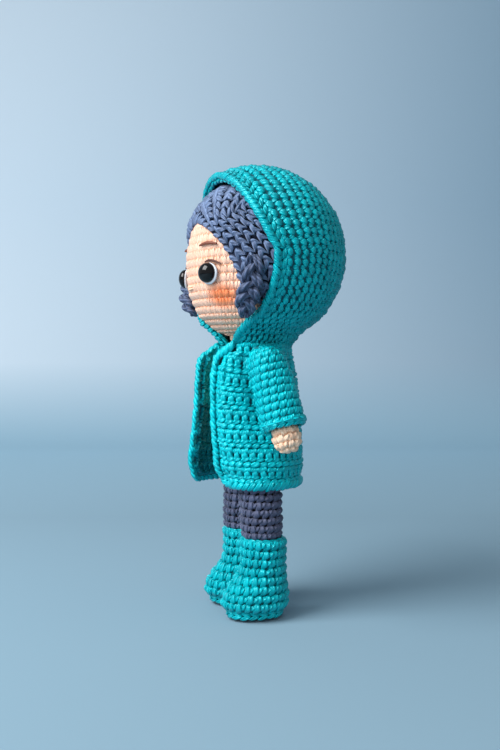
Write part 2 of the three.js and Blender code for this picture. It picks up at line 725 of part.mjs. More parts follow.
function sleeveSolid(shrink, extra) {
  const shoulder = sleeveShoulderRadius - shrink;
  const cuff = sleeveCuffRadius - shrink;
  const length = sleeveLength + extra;
  const rows = sleeveShares.map(([share, swell]) => [
    share * sleeveLength, shoulder + swell * (cuff - shoulder),
  ]);
  rows.push([length, cuff], [length, 0]);
  const cap = rod(shoulder, 0, shoulderReach - sleeveStart + extra, sleeveSides).rotateY(-Math.PI / 2);
  return limb(shoulder, rows, sleeveSides).add(toSolid(cap));
}

function makeArms() {
  const reach = shoulderReach - stubReach;
  const skin = armSolid(0, reach).subtract(armSolid(armWall, reach + overrun));
  const buttonRoom = rod(
    cordButtonRadius + seatGap, -cordButtonThickness - seatGap, seatGap, stitchSides * 2,
  ).rotateY(-Math.PI / 2);
  const cordRoom = rod(cordHole, 0, shoulderReach, stitchSides * 2).rotateY(-Math.PI / 2);
  const filling = armSolid(armWall + seatGap, reach - seatGap);
  const boredFilling = filling.subtract(toSolid(buttonRoom)).subtract(toSolid(cordRoom));
  const room = overrun * 3;
  const inside = new THREE.BoxGeometry(room, room, room);
  const inboard = toSolid(inside.translate(sleeveStart - shoulderReach - room / 2, 0, 0));
  const sleeve = sleeveSolid(0, 0).subtract(inboard).subtract(sleeveSolid(sleeveWall, overrun));
  for (const [side, sign] of leftAndRight) {
    const group = sideGroup(sign, shoulderReach, shoulderSetback, shoulderHeight);
    const own = (solid) => (sign > 0 ? solid : mirrored(solid));
    addPiece(group, `arm_${side}`, own(skin), peach);
    addPiece(group, `arm_stuffing_${side}`, own(boredFilling), fibre);
    addPiece(group, `sleeve_${side}`, own(sleeve), teal);
  }
}

// Hood: the upper layer turns back about a sideways axis through the ball's centre
function hoodShell(outer, inner) {
  const [skin, hollow] = [outer, inner].map((radius) => toSolid(
    new THREE.SphereGeometry(radius, hoodSides, hoodRings).rotateZ(Math.PI / 2),
  ));
  return skin.subtract(hollow);
}

// A full-width block over a slice of the side view, between two angles from straight back
function sideSlice(startDeg, endDeg) {
  const reach = hoodRadius * 2;
  const outline = new THREE.Shape();
  const steps = 8;
  outline.moveTo(0, 0);
  for (let i = 0; i <= steps; i++) {
    const turn = radians(startDeg + (i / steps) * (endDeg - startDeg));
    outline.lineTo(reach * Math.cos(turn), reach * Math.sin(turn));
  }
  return acrossHood(outline);
}

// A side-view outline, [depth, height], run across the hood from side to side
function acrossHood(outline) {
  const depth = hoodRadius * 4;
  const block = new THREE.ExtrudeGeometry(outline, { depth, bevelEnabled: false });
  block.translate(0, 0, -depth / 2);
  block.rotateX(Math.PI / 2);
  return toSolid(block.rotateZ(Math.PI / 2));
}

function makeHood() {
  const far = -hoodRadius * 2;
  const opening = new THREE.Shape();
  opening.moveTo(far, hoodRadius * hoodRimShares[0][0]);
  for (const [height, depth] of hoodRimShares) opening.lineTo(hoodRadius * depth, hoodRadius * height);
  opening.lineTo(far, hoodRadius * hoodRimShares.at(-1)[0]);
  const face = acrossHood(opening);

  const upper = hoodShell(hoodRadius, hoodUpperInner).intersect(sideSlice(hoodBackDeg, 180)).subtract(face);
  addPiece(hoodGroup, 'hood', upper, tealDark);

  const shell = hoodShell(hoodLowerOuter, hoodLowerInner);
  const round = shell.intersect(sideSlice(hoodLowerFrontDeg, 360 + hoodLowerBackDeg));
  const neckCut = rod(bandTopRadius - bandWall, -hoodRadius * 2, 0, hoodSides);
  const lift = (height) => height - hoodHeight;
  const band = revolve([
    [bandFootRadius, lift(bandFoot)],
    [bandMidRadius, lift(bandMidHeight)],
    [bandTopRadius, lift(bandTopHeight)],
    [bandTopRadius - bandWall, lift(bandTopHeight + bandWall)],
    [bandMidRadius - bandWall, lift(bandMidHeight + bandWall)],
    [bandFootRadius - bandWall, lift(bandFoot + bandWall / 2)],
    [bandFootRadius, lift(bandFoot)],
  ], hoodSides);
  const lower = round.subtract(toSolid(neckCut)).add(toSolid(band)).subtract(face);
  addPiece(hoodGroup, 'hood_lower', lower, tealDark);
}

makeHead();
makeHair();
makePlait('left', 1, plaitLeftLobes);
makePlait('right', -1, plaitRightLobes);
makeBody();
makeLegs();
makeBoots();
makeCoatBack();
makeFlap('left', 1, leftEdgeShares);
makeFlap('right', -1, rightEdgeShares);
makeArms();
makeHood();

// The doll's box is centred in depth over the origin
figure.updateMatrixWorld(true);
const box = new THREE.Box3().setFromObject(figure);
figure.position.y = -(box.min.y + box.max.y) / 2;

export default figure;
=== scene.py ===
import json
import math

import bpy
import numpy as np
from mathutils import Matrix, Vector
from mathutils.bvhtree import BVHTree


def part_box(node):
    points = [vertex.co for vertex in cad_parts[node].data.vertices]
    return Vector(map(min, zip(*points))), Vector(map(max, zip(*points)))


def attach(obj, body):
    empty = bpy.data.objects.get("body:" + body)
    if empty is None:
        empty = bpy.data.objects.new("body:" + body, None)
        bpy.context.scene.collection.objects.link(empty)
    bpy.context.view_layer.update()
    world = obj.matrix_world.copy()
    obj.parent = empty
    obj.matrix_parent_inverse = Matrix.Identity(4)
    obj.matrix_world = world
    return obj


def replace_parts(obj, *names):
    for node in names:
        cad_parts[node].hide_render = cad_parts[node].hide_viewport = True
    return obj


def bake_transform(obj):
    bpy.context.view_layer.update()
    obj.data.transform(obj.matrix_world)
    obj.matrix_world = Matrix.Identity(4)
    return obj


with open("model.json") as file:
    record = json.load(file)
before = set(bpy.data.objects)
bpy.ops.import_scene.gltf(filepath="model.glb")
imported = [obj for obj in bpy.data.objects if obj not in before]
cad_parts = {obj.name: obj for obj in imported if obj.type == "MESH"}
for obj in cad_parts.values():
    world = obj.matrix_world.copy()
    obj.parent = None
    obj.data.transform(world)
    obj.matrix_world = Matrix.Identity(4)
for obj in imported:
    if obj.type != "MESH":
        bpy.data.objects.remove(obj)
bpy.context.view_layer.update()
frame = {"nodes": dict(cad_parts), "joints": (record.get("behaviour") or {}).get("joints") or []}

mm = 0.001
chance = np.random.default_rng(11)
sides = {"left": 1, "right": -1}
up = Vector((0, 0, 1))
forwards = Vector((0, -1, 0))
turnAll = np.linspace(0, 2 * math.pi, 48, endpoint=False)

# landmarks, read off the frame
headRadius = 35 * mm
headHalfHeight = 36 * mm
headSquareness = 2.4  # exponent of the head's rounded outline
headLow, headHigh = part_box("head")
headCentre = Vector((0, (headLow.y + headHigh.y) / 2, headHigh.z - headHalfHeight))
legLineY = headCentre.y - 2 * mm  # the head sits a little behind the legs
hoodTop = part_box("hood")[1]
hoodRadius = hoodTop.x - 1.6 * mm
hoodCentre = Vector((0, legLineY + 2.2 * mm, hoodTop.z - hoodRadius - 1 * mm))
shoulder = Vector(next(j for j in frame["joints"] if j["name"] == "arm_swing_left")["pos_m"])


def fromFeet(x, y, z):
    # millimetres from the floor between the legs, as a place in the frame
    return Vector((x * mm, y * mm + legLineY, z * mm))


def direction(turn, rise=0.0):
    # by the turn from the front towards the doll's left and the rise, in radians
    return Vector((math.sin(turn) * math.cos(rise), -math.cos(turn) * math.cos(rise), math.sin(rise)))


def linear(colour):
    # 0-255 screen colour to Blender's linear values
    return tuple((c / 255 / 12.92) if c < 11 else ((c / 255 + 0.055) / 1.055) ** 2.4 for c in colour)


# camera
camera = {"azimuth": 70, "distance": 420, "height": 129.2, "aimHeight": 117.5, "aside": -1.0, "lens": 40.3}


def placeCamera():
    turn = math.radians(camera["azimuth"])
    back = direction(turn)
    right = Vector((math.cos(turn), math.sin(turn), 0))
    axis = fromFeet(0, 0, 0) + right * camera["aside"] * mm
    place = axis + back * camera["distance"] * mm + Vector((0, 0, camera["height"] * mm))
    aim = axis + Vector((0, 0, camera["aimHeight"] * mm))
    bpy.ops.object.camera_add(location=place)
    eye = bpy.context.object
    eye.rotation_euler = (aim - place).to_track_quat("-Z", "Y").to_euler()
    eye.data.lens = camera["lens"]
    eye.data.clip_start = 0.01
    bpy.context.scene.camera = eye
    return back, right


towardsCamera, cameraRight = placeCamera()
print("camera placed")


# materials
def newMaterial(name):
    material = bpy.data.materials.new(name)
    material.use_nodes = True
    return material, material.node_tree, material.node_tree.nodes["Principled BSDF"]


def setInputs(tree, node, inputs):
    # an input takes another node's output, a colour or a number
    for key, value in inputs.items():
        if isinstance(value, bpy.types.NodeSocket):
            tree.links.new(value, node.inputs[key])
        elif isinstance(value, tuple):
            node.inputs[key].default_value = (*value, 1)
        else:
            node.inputs[key].default_value = value


def addNode(tree, kind, inputs, **settings):
    node = tree.nodes.new("ShaderNode" + kind)
    for name, value in settings.items():
        setattr(node, name, value)
    setInputs(tree, node, inputs)
    return node


def mathNode(tree, kind, *values, clamp=False):
    return addNode(tree, "Math", dict(enumerate(values)), operation=kind, use_clamp=clamp).outputs[0]


def mixColour(tree, share, first, second):
    return addNode(tree, "Mix", {"Factor": share, 6: first, 7: second}, data_type="RGBA").outputs[2]


def objectPlace(tree):
    return addNode(tree, "TexCoord", {}).outputs["Object"]


def noise(tree, place, **inputs):
    return addNode(tree, "TexNoise", {"Vector": place, **inputs}).outputs[0]


def roughen(tree, shader, height, strength, depth):
    bump = addNode(tree, "Bump", {"Strength": strength, "Distance": depth * mm, "Height": height})
    tree.links.new(bump.outputs[0], shader.inputs["Normal"])


def yarnMaterial(name, look, colour, dark):
    # plied yarn: ridges run slantwise round every loop, over a fine fibre grain; the colour is also painted
    # darker in the ridges' grooves, as painted shade
    material, tree, shader = newMaterial(name)
    yarn = addNode(tree, "SeparateXYZ", {0: addNode(tree, "UVMap", {}, uv_map="yarn").outputs[0]}).outputs
    around = mathNode(tree, "MULTIPLY", yarn[0], look["plies"] * 2 * math.pi)
    onwards = mathNode(tree, "MULTIPLY", yarn[1], look["twist"] * 2 * math.pi)
    ply = mathNode(tree, "SINE", mathNode(tree, "ADD", around, onwards))
    place = objectPlace(tree)
    fibre = noise(tree, place, Scale=look["grain"], Detail=3)
    patch = noise(tree, place, Scale=look["patchScale"])
    tone = addNode(tree, "Attribute", {}, attribute_name="tone").outputs["Fac"]
    # painted shade: the ply's grooves darken the colour and its crests lighten it
    share = mathNode(tree, "MULTIPLY_ADD", ply, look["plyGrooveShade"], look["level"])
    share = mathNode(tree, "ADD", share, mathNode(tree, "MULTIPLY", tone, look["toneSpread"]))
    patchTone = mathNode(tree, "MULTIPLY", mathNode(tree, "SUBTRACT", patch, 0.5), look["patchTone"])
    share = mathNode(tree, "ADD", share, patchTone, clamp=True)
    shown = mixColour(tree, share, linear(dark), linear(colour))
    if "blush" in look:
        shown = addBlush(tree, place, shown, look["blush"])
    roughen(tree, shader, mathNode(tree, "ADD", ply, fibre), look["bump"], look["bumpDepth"])
    setInputs(tree, shader, {
        "Base Color": shown, "Roughness": look["roughness"], "Sheen Weight": look["sheen"],
        "Sheen Roughness": look["sheenRoughness"], "Specular Tint": linear(look["shine"]),
        "Specular IOR Level": look["gloss"]})
    return material


def addBlush(tree, place, colour, blush):
    # both cheeks at once, by mirroring the sideways place
    parts = addNode(tree, "SeparateXYZ", {0: place}).outputs
    centre = headCentre + direction(math.radians(blush["deg"])) * headRadius
    aside = mathNode(tree, "SUBTRACT", mathNode(tree, "ABSOLUTE", parts[0]), centre.x)
    deep = mathNode(tree, "SUBTRACT", parts[1], centre.y)
    rise = mathNode(tree, "SUBTRACT", parts[2], blush["height"] * mm)
    squares = []
    for value, half in ((aside, "halfWidth"), (deep, "halfWidth"), (rise, "halfHeight")):
        scaled = mathNode(tree, "DIVIDE", value, blush[half] * mm)
        squares.append(mathNode(tree, "MULTIPLY", scaled, scaled))
    total = mathNode(tree, "ADD", mathNode(tree, "ADD", squares[0], squares[1]), squares[2])
    share = mathNode(tree, "SUBTRACT", blush["edge"], total, clamp=True)
    share = mathNode(tree, "MULTIPLY", share, blush["strength"])
    return mixColour(tree, share, colour, linear(blush["colour"]))


def clothMaterial(name, colour, dark, grain=900, roughness=0.85):
    # the dense ground between the loops, felt and thread
    material, tree, shader = newMaterial(name)
    fuzz = noise(tree, objectPlace(tree), Scale=grain, Detail=4)
    shown = mixColour(tree, fuzz, linear(dark), linear(colour))
    roughen(tree, shader, fuzz, 0.6, 0.3)
    setInputs(tree, shader, {"Base Color": shown, "Roughness": roughness})
    return material


cotton = {"plies": 3, "twist": 1.5, "grain": 1800, "plyGrooveShade": 0.16, "level": 0.68, "toneSpread": 0.16,
          "patchScale": 60, "patchTone": 0.35, "bump": 0.9, "bumpDepth": 0.28, "roughness": 0.62,
          "sheen": 0.1, "sheenRoughness": 0.4, "shine": (255, 255, 255), "gloss": 0.5}
teal = {**cotton, "roughness": 0.27, "sheen": 0, "shine": (130, 250, 250), "gloss": 0.85}
blush = {"deg": 41, "height": 154.9, "halfWidth": 10, "halfHeight": 6.4, "edge": 1.25, "strength": 0.9,
         "colour": (250, 132, 70)}
tealYarn = yarnMaterial("teal yarn", teal, (0, 208, 220), (0, 122, 136))
# a darker copy of the teal yarn for the hood: painted shade
hoodYarn = yarnMaterial("teal yarn darkened as painted shade for the hood", teal, (0, 186, 198), (0, 102, 116))
# a slightly darker copy of the teal yarn for the boots: painted shade
bootYarn = yarnMaterial("teal yarn darkened as painted shade for the boots", teal, (0, 194, 206), (0, 110, 124))
# a darker copy of the teal yarn for the fronts' inside: painted shade
shadedYarn = yarnMaterial("teal yarn darkened as painted shade inside", teal, (0, 136, 150), (0, 80, 94))
hairYarn = yarnMaterial("slate blue yarn", {**cotton, "plyGrooveShade": 0.26}, (114, 136, 174), (36, 47, 76))
plaitYarn = yarnMaterial("plait yarn", {**cotton, "plyGrooveShade": 0.3}, (88, 104, 138), (24, 32, 54))
legYarn = yarnMaterial("dark slate yarn", cotton, (86, 94, 124), (32, 37, 58))
faceYarn = yarnMaterial("face yarn", {**cotton, "blush": blush}, (252, 208, 185), (236, 174, 138))
handYarn = yarnMaterial("skin yarn", cotton, (255, 224, 196), (250, 190, 152))
# the grounds under the loops are darker than their yarns: painted shade in the gaps between the loops; the
# boots' and sleeves' ground is lighter than the coat's and hood's
softGround = clothMaterial(
    "teal painted shade ground of the boots and sleeves", (0, 136, 148), (0, 92, 104), roughness=0.8)
tealGround = clothMaterial("teal painted shade ground", (0, 106, 120), (0, 64, 78), roughness=0.8)
hairGround = clothMaterial("slate blue painted shade ground", (44, 54, 82), (24, 30, 50))
legGround = clothMaterial("dark slate painted shade ground", (24, 26, 38), (12, 13, 21))
skinGround = clothMaterial("skin painted shade ground", (236, 182, 142), (216, 152, 112))
print("materials made")


# pieces
def paint(mesh, material):
    # smooth all over, in one material
    mesh.polygons.foreach_set("use_smooth", [True] * len(mesh.polygons))
    mesh.materials.clear()
    mesh.materials.append(material)


def newPiece(name, points, faces, material):
    mesh = bpy.data.meshes.new(name)
    mesh.from_pydata(points, [], faces)
    paint(mesh, material)
    piece = bpy.data.objects.new(name, mesh)
    bpy.context.collection.objects.link(piece)
    return piece


def pick(*pieces):
    # selects these pieces alone, the first one active
    bpy.ops.object.select_all(action="DESELECT")
    for piece in pieces:
        piece.select_set(True)
    bpy.context.view_layer.objects.active = pieces[0]


def gather(name, *pieces):
    # joins pieces into one object
    pick(*pieces)
    bpy.ops.object.join()
    pieces[0].name = name
    return pieces[0]


def thicken(piece, thickness):
    pick(piece)
    wall = piece.modifiers.new("wall", "SOLIDIFY")
    wall.thickness = thickness * mm
    wall.offset = -1
    bpy.ops.object.modifier_apply(modifier="wall")


# loops: one stitch is a few loops of yarn, modelled once on a level patch
def makeStitch(name, loops):
    # a loop is (x, y, length, width, depth, turn, tip, taper), in millimetres and degrees;
    # x runs along the row
    parts = []
    for x, y, length, width, depth, turn, tip, taper in loops:
        bpy.ops.mesh.primitive_uv_sphere_add(
            segments=8, ring_count=6, radius=0.5, location=(x, y, 0),
            rotation=(0, math.radians(90 - tip), math.radians(turn)), scale=(depth, width, length))
        for corner in bpy.context.object.data.vertices:
            corner.co.xy *= 1 + taper * corner.co.z * 2
        parts.append(bpy.context.object)
    stitch = gather(name, *parts)
    bpy.ops.object.transform_apply(location=True, rotation=True, scale=True)
    stitch.data.uv_layers[0].name = "yarn"
    return stitch


stitches = {
    # a full left leg and a thin right one, both leaning, open at the top
    "plain": {"cell": (4.3, 4.0), "loops": [
        (-0.75, -0.1, 5.7, 3.5, 3.2, 62, 16, 0.08), (1.35, 0.4, 4.9, 2.0, 2.7, 42, 16, 0.1)]},
    "face": {"cell": (3.5, 3.9), "loops": [
        (-0.75, 0, 4.9, 3.0, 1.5, 76, 7, 0.05), (0.95, 0.1, 4.7, 2.4, 1.3, 60, 7, 0.05)]},
    "hand": {"cell": (5.0, 4.6), "loops": [
        (-0.9, 0, 5.2, 3.7, 3.2, 72, 8, 0), (1.5, 0.2, 4.6, 2.5, 2.7, 54, 8, 0)]},
    # a full oval with a small bead before it
    "pearl": {"cell": (4.8, 4.6), "loops": [
        (-0.6, 0.25, 4.5, 3.7, 3.4, 18, 0, 0), (1.8, -0.7, 3.1, 2.7, 2.9, 60, 10, 0)]},
    "sleeve": {"cell": (3.8, 3.6), "loops": [
        (-0.35, -0.1, 4.3, 3.2, 3.2, 46, 8, 0), (1.35, 0.5, 3.4, 1.9, 2.8, 56, 14, 0)]},
    # a column with a bead bar on its head, so that oval holes stay between
    "post": {"cell": (4.0, 6.4), "loops": [
        (0, -0.5, 5.0, 3.4, 3.0, 78, 4, 0.04), (-0.8, 1.9, 3.6, 3.1, 3.4, 34, 0, 0),
        (1.2, 2.1, 3.1, 2.8, 3.2, 62, 0, 0), (0.2, -2.3, 4.5, 2.8, 2.9, 10, 0, 0)]},
    "bar": {"cell": (4.0, 3.3), "loops": [(0, 0, 5.2, 3.2, 3.3, 12, 4, 0.06)]},
    "knit": {"cell": (5.1, 7.0), "loops": [
        (0, -1.7, 7.0, 2.7, 3.0, 37, 10, -0.12), (0, 1.7, 7.0, 2.7, 3.0, -37, 10, -0.12)]},
    "chain": {"cell": (4.5, 4.0), "loops": [
        (0, -0.95, 5.8, 2.3, 2.4, 16, 3, 0), (0, 0.95, 5.8, 2.3, 2.4, -16, 3, 0)]},
    # slanting turns of a cord
    "rope": {"cell": (2.9, 4.4), "loops": [(0, 0, 5.9, 2.7, 3.4, 34, 0, 0)]},
}
for name, stitch in stitches.items():
    stitch["model"] = makeStitch(name + "Stitch", stitch["loops"])
print("stitches modelled")


# surfaces of the frame as grids of points, from the first row up and round to the left
def rayTree(*nodes):
    corners, faces = [], []
    for node in nodes:
        mesh = frame["nodes"][node].data
        start = len(corners)
        corners += [v.co.copy() for v in mesh.vertices]
        faces += [[start + i for i in face.vertices] for face in mesh.polygons]
    return BVHTree.FromPolygons(corners, faces)


def reachOf(tree, origin, way, far=120 * mm):
    hit = tree.ray_cast(origin + way * far, -way, far)
    return far - hit[3] if hit[0] is not None else np.nan


def fillReaches(reaches, closed):
    # a ray that meets nothing takes the row below, and else its neighbours
    for row in range(len(reaches)):
        gaps = np.isnan(reaches[row])
        if row and gaps.any():
            reaches[row, gaps] = reaches[row - 1, gaps]
            gaps = np.isnan(reaches[row])
        if gaps.any() and not gaps.all():
            places = np.arange(reaches.shape[1])
            period = reaches.shape[1] if closed else None
            reaches[row, gaps] = np.interp(places[gaps], places[~gaps], reaches[row, ~gaps], period=period)
    return reaches


def soften(reaches, closed, rounds=3):
    # takes the facets out of the frame's surface
    for _ in range(rounds):
        padded = np.pad(reaches, ((0, 0), (1, 1)), mode="wrap" if closed else "edge")
        reaches = (padded[:, :-2] + 2 * reaches + padded[:, 2:]) / 4
    return reaches


def castGrid(tree, hubs, spokes, closed=True):
    # where the rays of each row, from the row's hub, leave the surface
    reaches = np.array([[reachOf(tree, hub, way) for way in row] for hub, row in zip(hubs, spokes)])
    reaches = soften(fillReaches(reaches, closed), closed)
    return np.array([[hub + way * reach for way, reach in zip(row, line)]
                     for hub, row, line in zip(hubs, spokes, reaches)])


def ringGrid(tree, foot, axis, front, heights, angles, closed=True):
    side = axis.cross(front)
    angles = np.broadcast_to(angles, (len(heights), np.shape(angles)[-1]))
    spokes = [[front * math.cos(a) + side * math.sin(a) for a in row] for row in angles]
    return castGrid(tree, [foot + axis * height for height in heights], spokes, closed)


def runOf(path):
    # the length of a path up to each of its points
    return np.concatenate([[0], np.cumsum(np.linalg.norm(np.diff(path, axis=0), axis=1))])


def resample(path, run, at):
    return np.stack([np.interp(at, run, path[:, k]) for k in range(path.shape[1])], 1)


def evenRows(grid, pitch):
    # the same number of rows everywhere, equally far apart up each line
    lines = [grid[:, column] for column in range(grid.shape[1])]
    runs = [runOf(line) for line in lines]
    rowCount = max(1, round(np.mean([run[-1] for run in runs]) / (pitch * mm)))
    shares = np.linspace(0, 1, rowCount + 1)
    return np.stack([resample(line, run, shares * run[-1]) for line, run in zip(lines, runs)], 1)


def tubeGrid(node, foot, look, axis=up, front=forwards):
    # rows round a node of the frame, between the look's two heights along the axis
    heights = np.linspace(look["low"], look["high"], look["steps"]) * mm
    return evenRows(ringGrid(rayTree(node), foot, axis, front, heights, turnAll), look["pitch"])


def pushOut(grid, foot, amounts):
    # moves points away from an upright line by the millimetres given
    spokes = grid - np.array(foot)
    spokes[..., 2] = 0
    return grid + unit(spokes) * np.asarray(amounts)[..., None] * mm


def unit(vectors):
    return vectors / np.maximum(np.linalg.norm(vectors, axis=-1, keepdims=True), 1e-12)


def follow(profile, at):
    # a profile's value at a place on it
    return np.interp(at, *zip(*profile))


def sample(line, at, closed):
    first = np.floor(at).astype(int)
    if not closed:
        first = np.clip(first, 0, len(line) - 2)
    share = (at - first)[:, None]
    return line[first % len(line)] * (1 - share) + line[(first + 1) % len(line)] * share


# places of stitches: each is its width, height and depth as vectors, and its middle
def spread(path, width, closed, start=0.5):
    # where along a path its stitches go, which way they run, and their width vectors
    run = runOf(np.vstack([path, path[:1]]) if closed else path)
    count = max(1, round(run[-1] / (width * mm)))
    at = np.interp(((np.arange(count) + start) / count % 1) * run[-1], run, np.arange(len(run)))
    along = unit(sample(path, at + 0.4, closed) - sample(path, at - 0.4, closed))
    return at, along, along * run[-1] / count / width


def rowPlaces(low, high, kind, closed, start, lift):
    # where the stitches of one row go, between its lower and upper edge
    width, height = stitches[kind]["cell"]
    middle = (low + high) / 2
    at, along, wide = spread(middle, width, closed, start)
    rising = sample(high, at, closed) - sample(low, at, closed)
    out = unit(np.cross(along, rising))
    tall = unit(np.cross(out, along)) * np.linalg.norm(rising, axis=1, keepdims=True) / height
    return np.stack([wide, tall, out * mm, sample(middle, at, closed) + out * lift * mm], 2)


def gridPlaces(grid, kind, drift, lift=-1.0, closed=True):
    return np.concatenate([rowPlaces(low, high, kind, closed, 0.5 + drift * row, lift)
                           for row, (low, high) in enumerate(zip(grid[:-1], grid[1:]))])


def edgePlaces(path, out, lift=0.0, kind="chain", closed=False, wide=1.0):
    # loops along a path whose outward directions are given
    at, along, width = spread(path, stitches[kind]["cell"][0], closed)
    facing = sample(out, at, closed)
    facing = unit(facing - along * (facing * along).sum(1, keepdims=True))
    height = np.cross(facing, along) * mm * wide
    return np.stack([width, height, facing * mm, sample(path, at, closed) + facing * lift * mm], 2)


wobble = {"turn": 5, "size": 0.05, "lift": 0.1}


def sewStitches(name, kind, places, material, loose=1.0):
    # one stitch copied to every place, as one mesh; no two lie quite alike
    model = stitches[kind]["model"].data
    corners = np.array([v.co for v in model.vertices])
    count, step = len(places), len(corners)
    turns = np.radians(chance.normal(0, wobble["turn"], (count, 1))) * loose
    sizes = 1 + chance.normal(0, wobble["size"], (count, 3)) * loose
    frames = places[:, :, :3].copy()
    frames[:, :, 0] = places[:, :, 0] * np.cos(turns) + places[:, :, 1] * np.sin(turns)
    frames[:, :, 1] = places[:, :, 1] * np.cos(turns) - places[:, :, 0] * np.sin(turns)
    frames *= sizes[:, None, :]
    middles = places[:, :, 3] + places[:, :, 2] * chance.normal(0, wobble["lift"], (count, 1)) * loose
    points = np.einsum("sij,vj->svi", frames, corners) + middles[:, None]
    faces = [tuple(i + step * k for i in face.vertices) for k in range(count) for face in model.polygons]
    piece = newPiece(name, points.reshape(-1, 3).tolist(), faces, material)
    uvs = np.array([d.uv for d in model.uv_layers[0].data])
    piece.data.uv_layers.new(name="yarn").data.foreach_set("uv", np.tile(uvs, (count, 1)).ravel())
    tones = np.repeat(chance.uniform(-1, 1, count), step).astype(np.float32)
    piece.data.attributes.new("tone", "FLOAT", "POINT").data.foreach_set("value", tones)
    return piece


def groundCloth(name, grid, material, depth, closed=True, thickness=0.0, capFoot=False, capTop=False):
    # the cloth under the loops, a little below the grid; its darker colour, seen through the gaps, is
    # painted shade
    rows, columns = grid.shape[:2]
    around = np.roll(grid, -1, 1) - np.roll(grid, 1, 1) if closed else np.gradient(grid, axis=1)
    points = grid - unit(np.cross(around, np.gradient(grid, axis=0))) * depth * mm
    faces = []
    for row in range(rows - 1):
        for column in range(columns if closed else columns - 1):
            a, b = row * columns + column, row * columns + (column + 1) % columns
            faces.append((a, b, b + columns, a + columns))
    if capFoot:
        faces.append(tuple(reversed(range(columns))))
    if capTop:
        faces.append(tuple((rows - 1) * columns + i for i in range(columns)))
    piece = newPiece(name, points.reshape(-1, 3).tolist(), faces, material)
    if thickness:
        thicken(piece, thickness)
    return piece


def closedForm(name, grid, look, ground, yarn):
    # a stuffed form with stitches all round it
    return gather(
        name,
        groundCloth("ground", grid, ground, look["depth"], capFoot=True, capTop=True),
        sewStitches("rows", look["kind"], gridPlaces(grid, look["kind"], look["drift"], look["lift"]), yarn))


# boots and legs
boot = {"low": 0.6, "high": 38.0, "steps": 40, "pitch": 4.0, "drift": 0.17, "lift": -0.8, "spacing": 13.3,
        "tuck": [3.4, 0.7, 0], "front": [(0, 0.6), (8, 1.0), (14, 0.7), (19, -1.0), (25, -2.0), (38, -1.8)],
        "frontCurve": 1.5, "shaft": [(0, 0), (16, 0), (24, -0.6), (38, -0.4)], "weltRow": 0.65,
        "welt": {"lift": -1.1, "wide": 0.9}, "rim": {"lift": -1.2, "wide": 0.95}, "rimFlare": 0.6,
        "cloth": {"depth": 1.5, "thickness": 1.2}}
leg = {"low": 5, "high": 71.5, "steps": 40, "pitch": 3.7, "kind": "plain", "drift": 0.17, "lift": -0.7,
       "depth": 1.8, "spacing": 11.8, "inBoot": [(0, -3.4), (36, -3.0), (41, 0)]}


def makeBoot(side, sign):
    foot = fromFeet(sign * boot["spacing"], 0, 0)
    grid = tubeGrid("boot_" + side, foot, boot)
    rise = grid[:, :, 2] / mm
    frontness = np.maximum(0, np.cos(turnAll)) ** boot["frontCurve"]
    grid = pushOut(grid, foot, follow(boot["front"], rise) * frontness + follow(boot["shaft"], rise))
    for row, tuck in enumerate(boot["tuck"]):  # the sole's edge is rounded
        grid[row] = pushOut(grid[row], foot, -tuck)
    welt = grid[0] * (1 - boot["weltRow"]) + grid[1] * boot["weltRow"]
    weltOut = unit(welt - np.array(foot + up * welt[0, 2]))
    rim = grid[-1]
    rimOut = unit(rim - np.array([foot.x, foot.y, rim[0, 2]])) + np.array(up) * boot["rimFlare"]
    chains = [edgePlaces(welt, weltOut, closed=True, **boot["welt"]),
              edgePlaces(rim, unit(rimOut), closed=True, **boot["rim"])]
    shell = gather(
        "boot_" + side + "_shell",
        groundCloth("ground", grid, softGround, capFoot=True, **boot["cloth"]),
        sewStitches("rows", "plain", gridPlaces(grid[1:], "plain", boot["drift"], boot["lift"]), bootYarn),
        sewStitches("trim", "chain", np.concatenate(chains), bootYarn))
    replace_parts(shell, "boot_" + side, "insole_" + side, "toe_stuffing_" + side)
    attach(shell, "boot_" + side)


def makeLeg(side, sign):
    middle = fromFeet(sign * leg["spacing"], 0, 0)
    grid = tubeGrid("leg_" + side, middle, leg)
    grid = pushOut(grid, middle, follow(leg["inBoot"], grid[:, :, 2] / mm))
    skin = closedForm("leg_" + side + "_skin", grid, leg, legGround, legYarn)
    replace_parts(skin, "leg_" + side, "leg_stuffing_" + side)
    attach(skin, "doll")


for side, sign in sides.items():
    makeBoot(side, sign)
    makeLeg(side, sign)
print("boots and legs made")

# head and body
head = {"lowRise": -77, "steps": 60, "pitch": 3.95, "drift": 0.12, "lift": -0.55, "loose": 0.6, "depth": 0.5,
        "hairMargin": 0.1}
# the hair's edge: turn from the front and share of the head's half height
hairBorder = [(0, 0.58), (19, 0.5), (31, 0.39), (43, 0.23), (53, -0.03), (58, -0.3),
              (61, -0.52), (64, -0.64), (72, -0.58), (90, -0.5), (120, -0.44), (180, -0.42)]
torso = {"low": 73, "high": 138, "steps": 40, "pitch": 4, "behind": 1.6, "kind": "hand", "drift": 0.1,
         "lift": -1.0, "depth": 1.2, "allRound": [(70, -1.8), (122, -1.8), (130, 0.8), (134, 1.4)],
         "neckFront": [(122, 0), (131, 4.0)]}


def borderAt(degrees):
    return follow(hairBorder, abs(degrees))


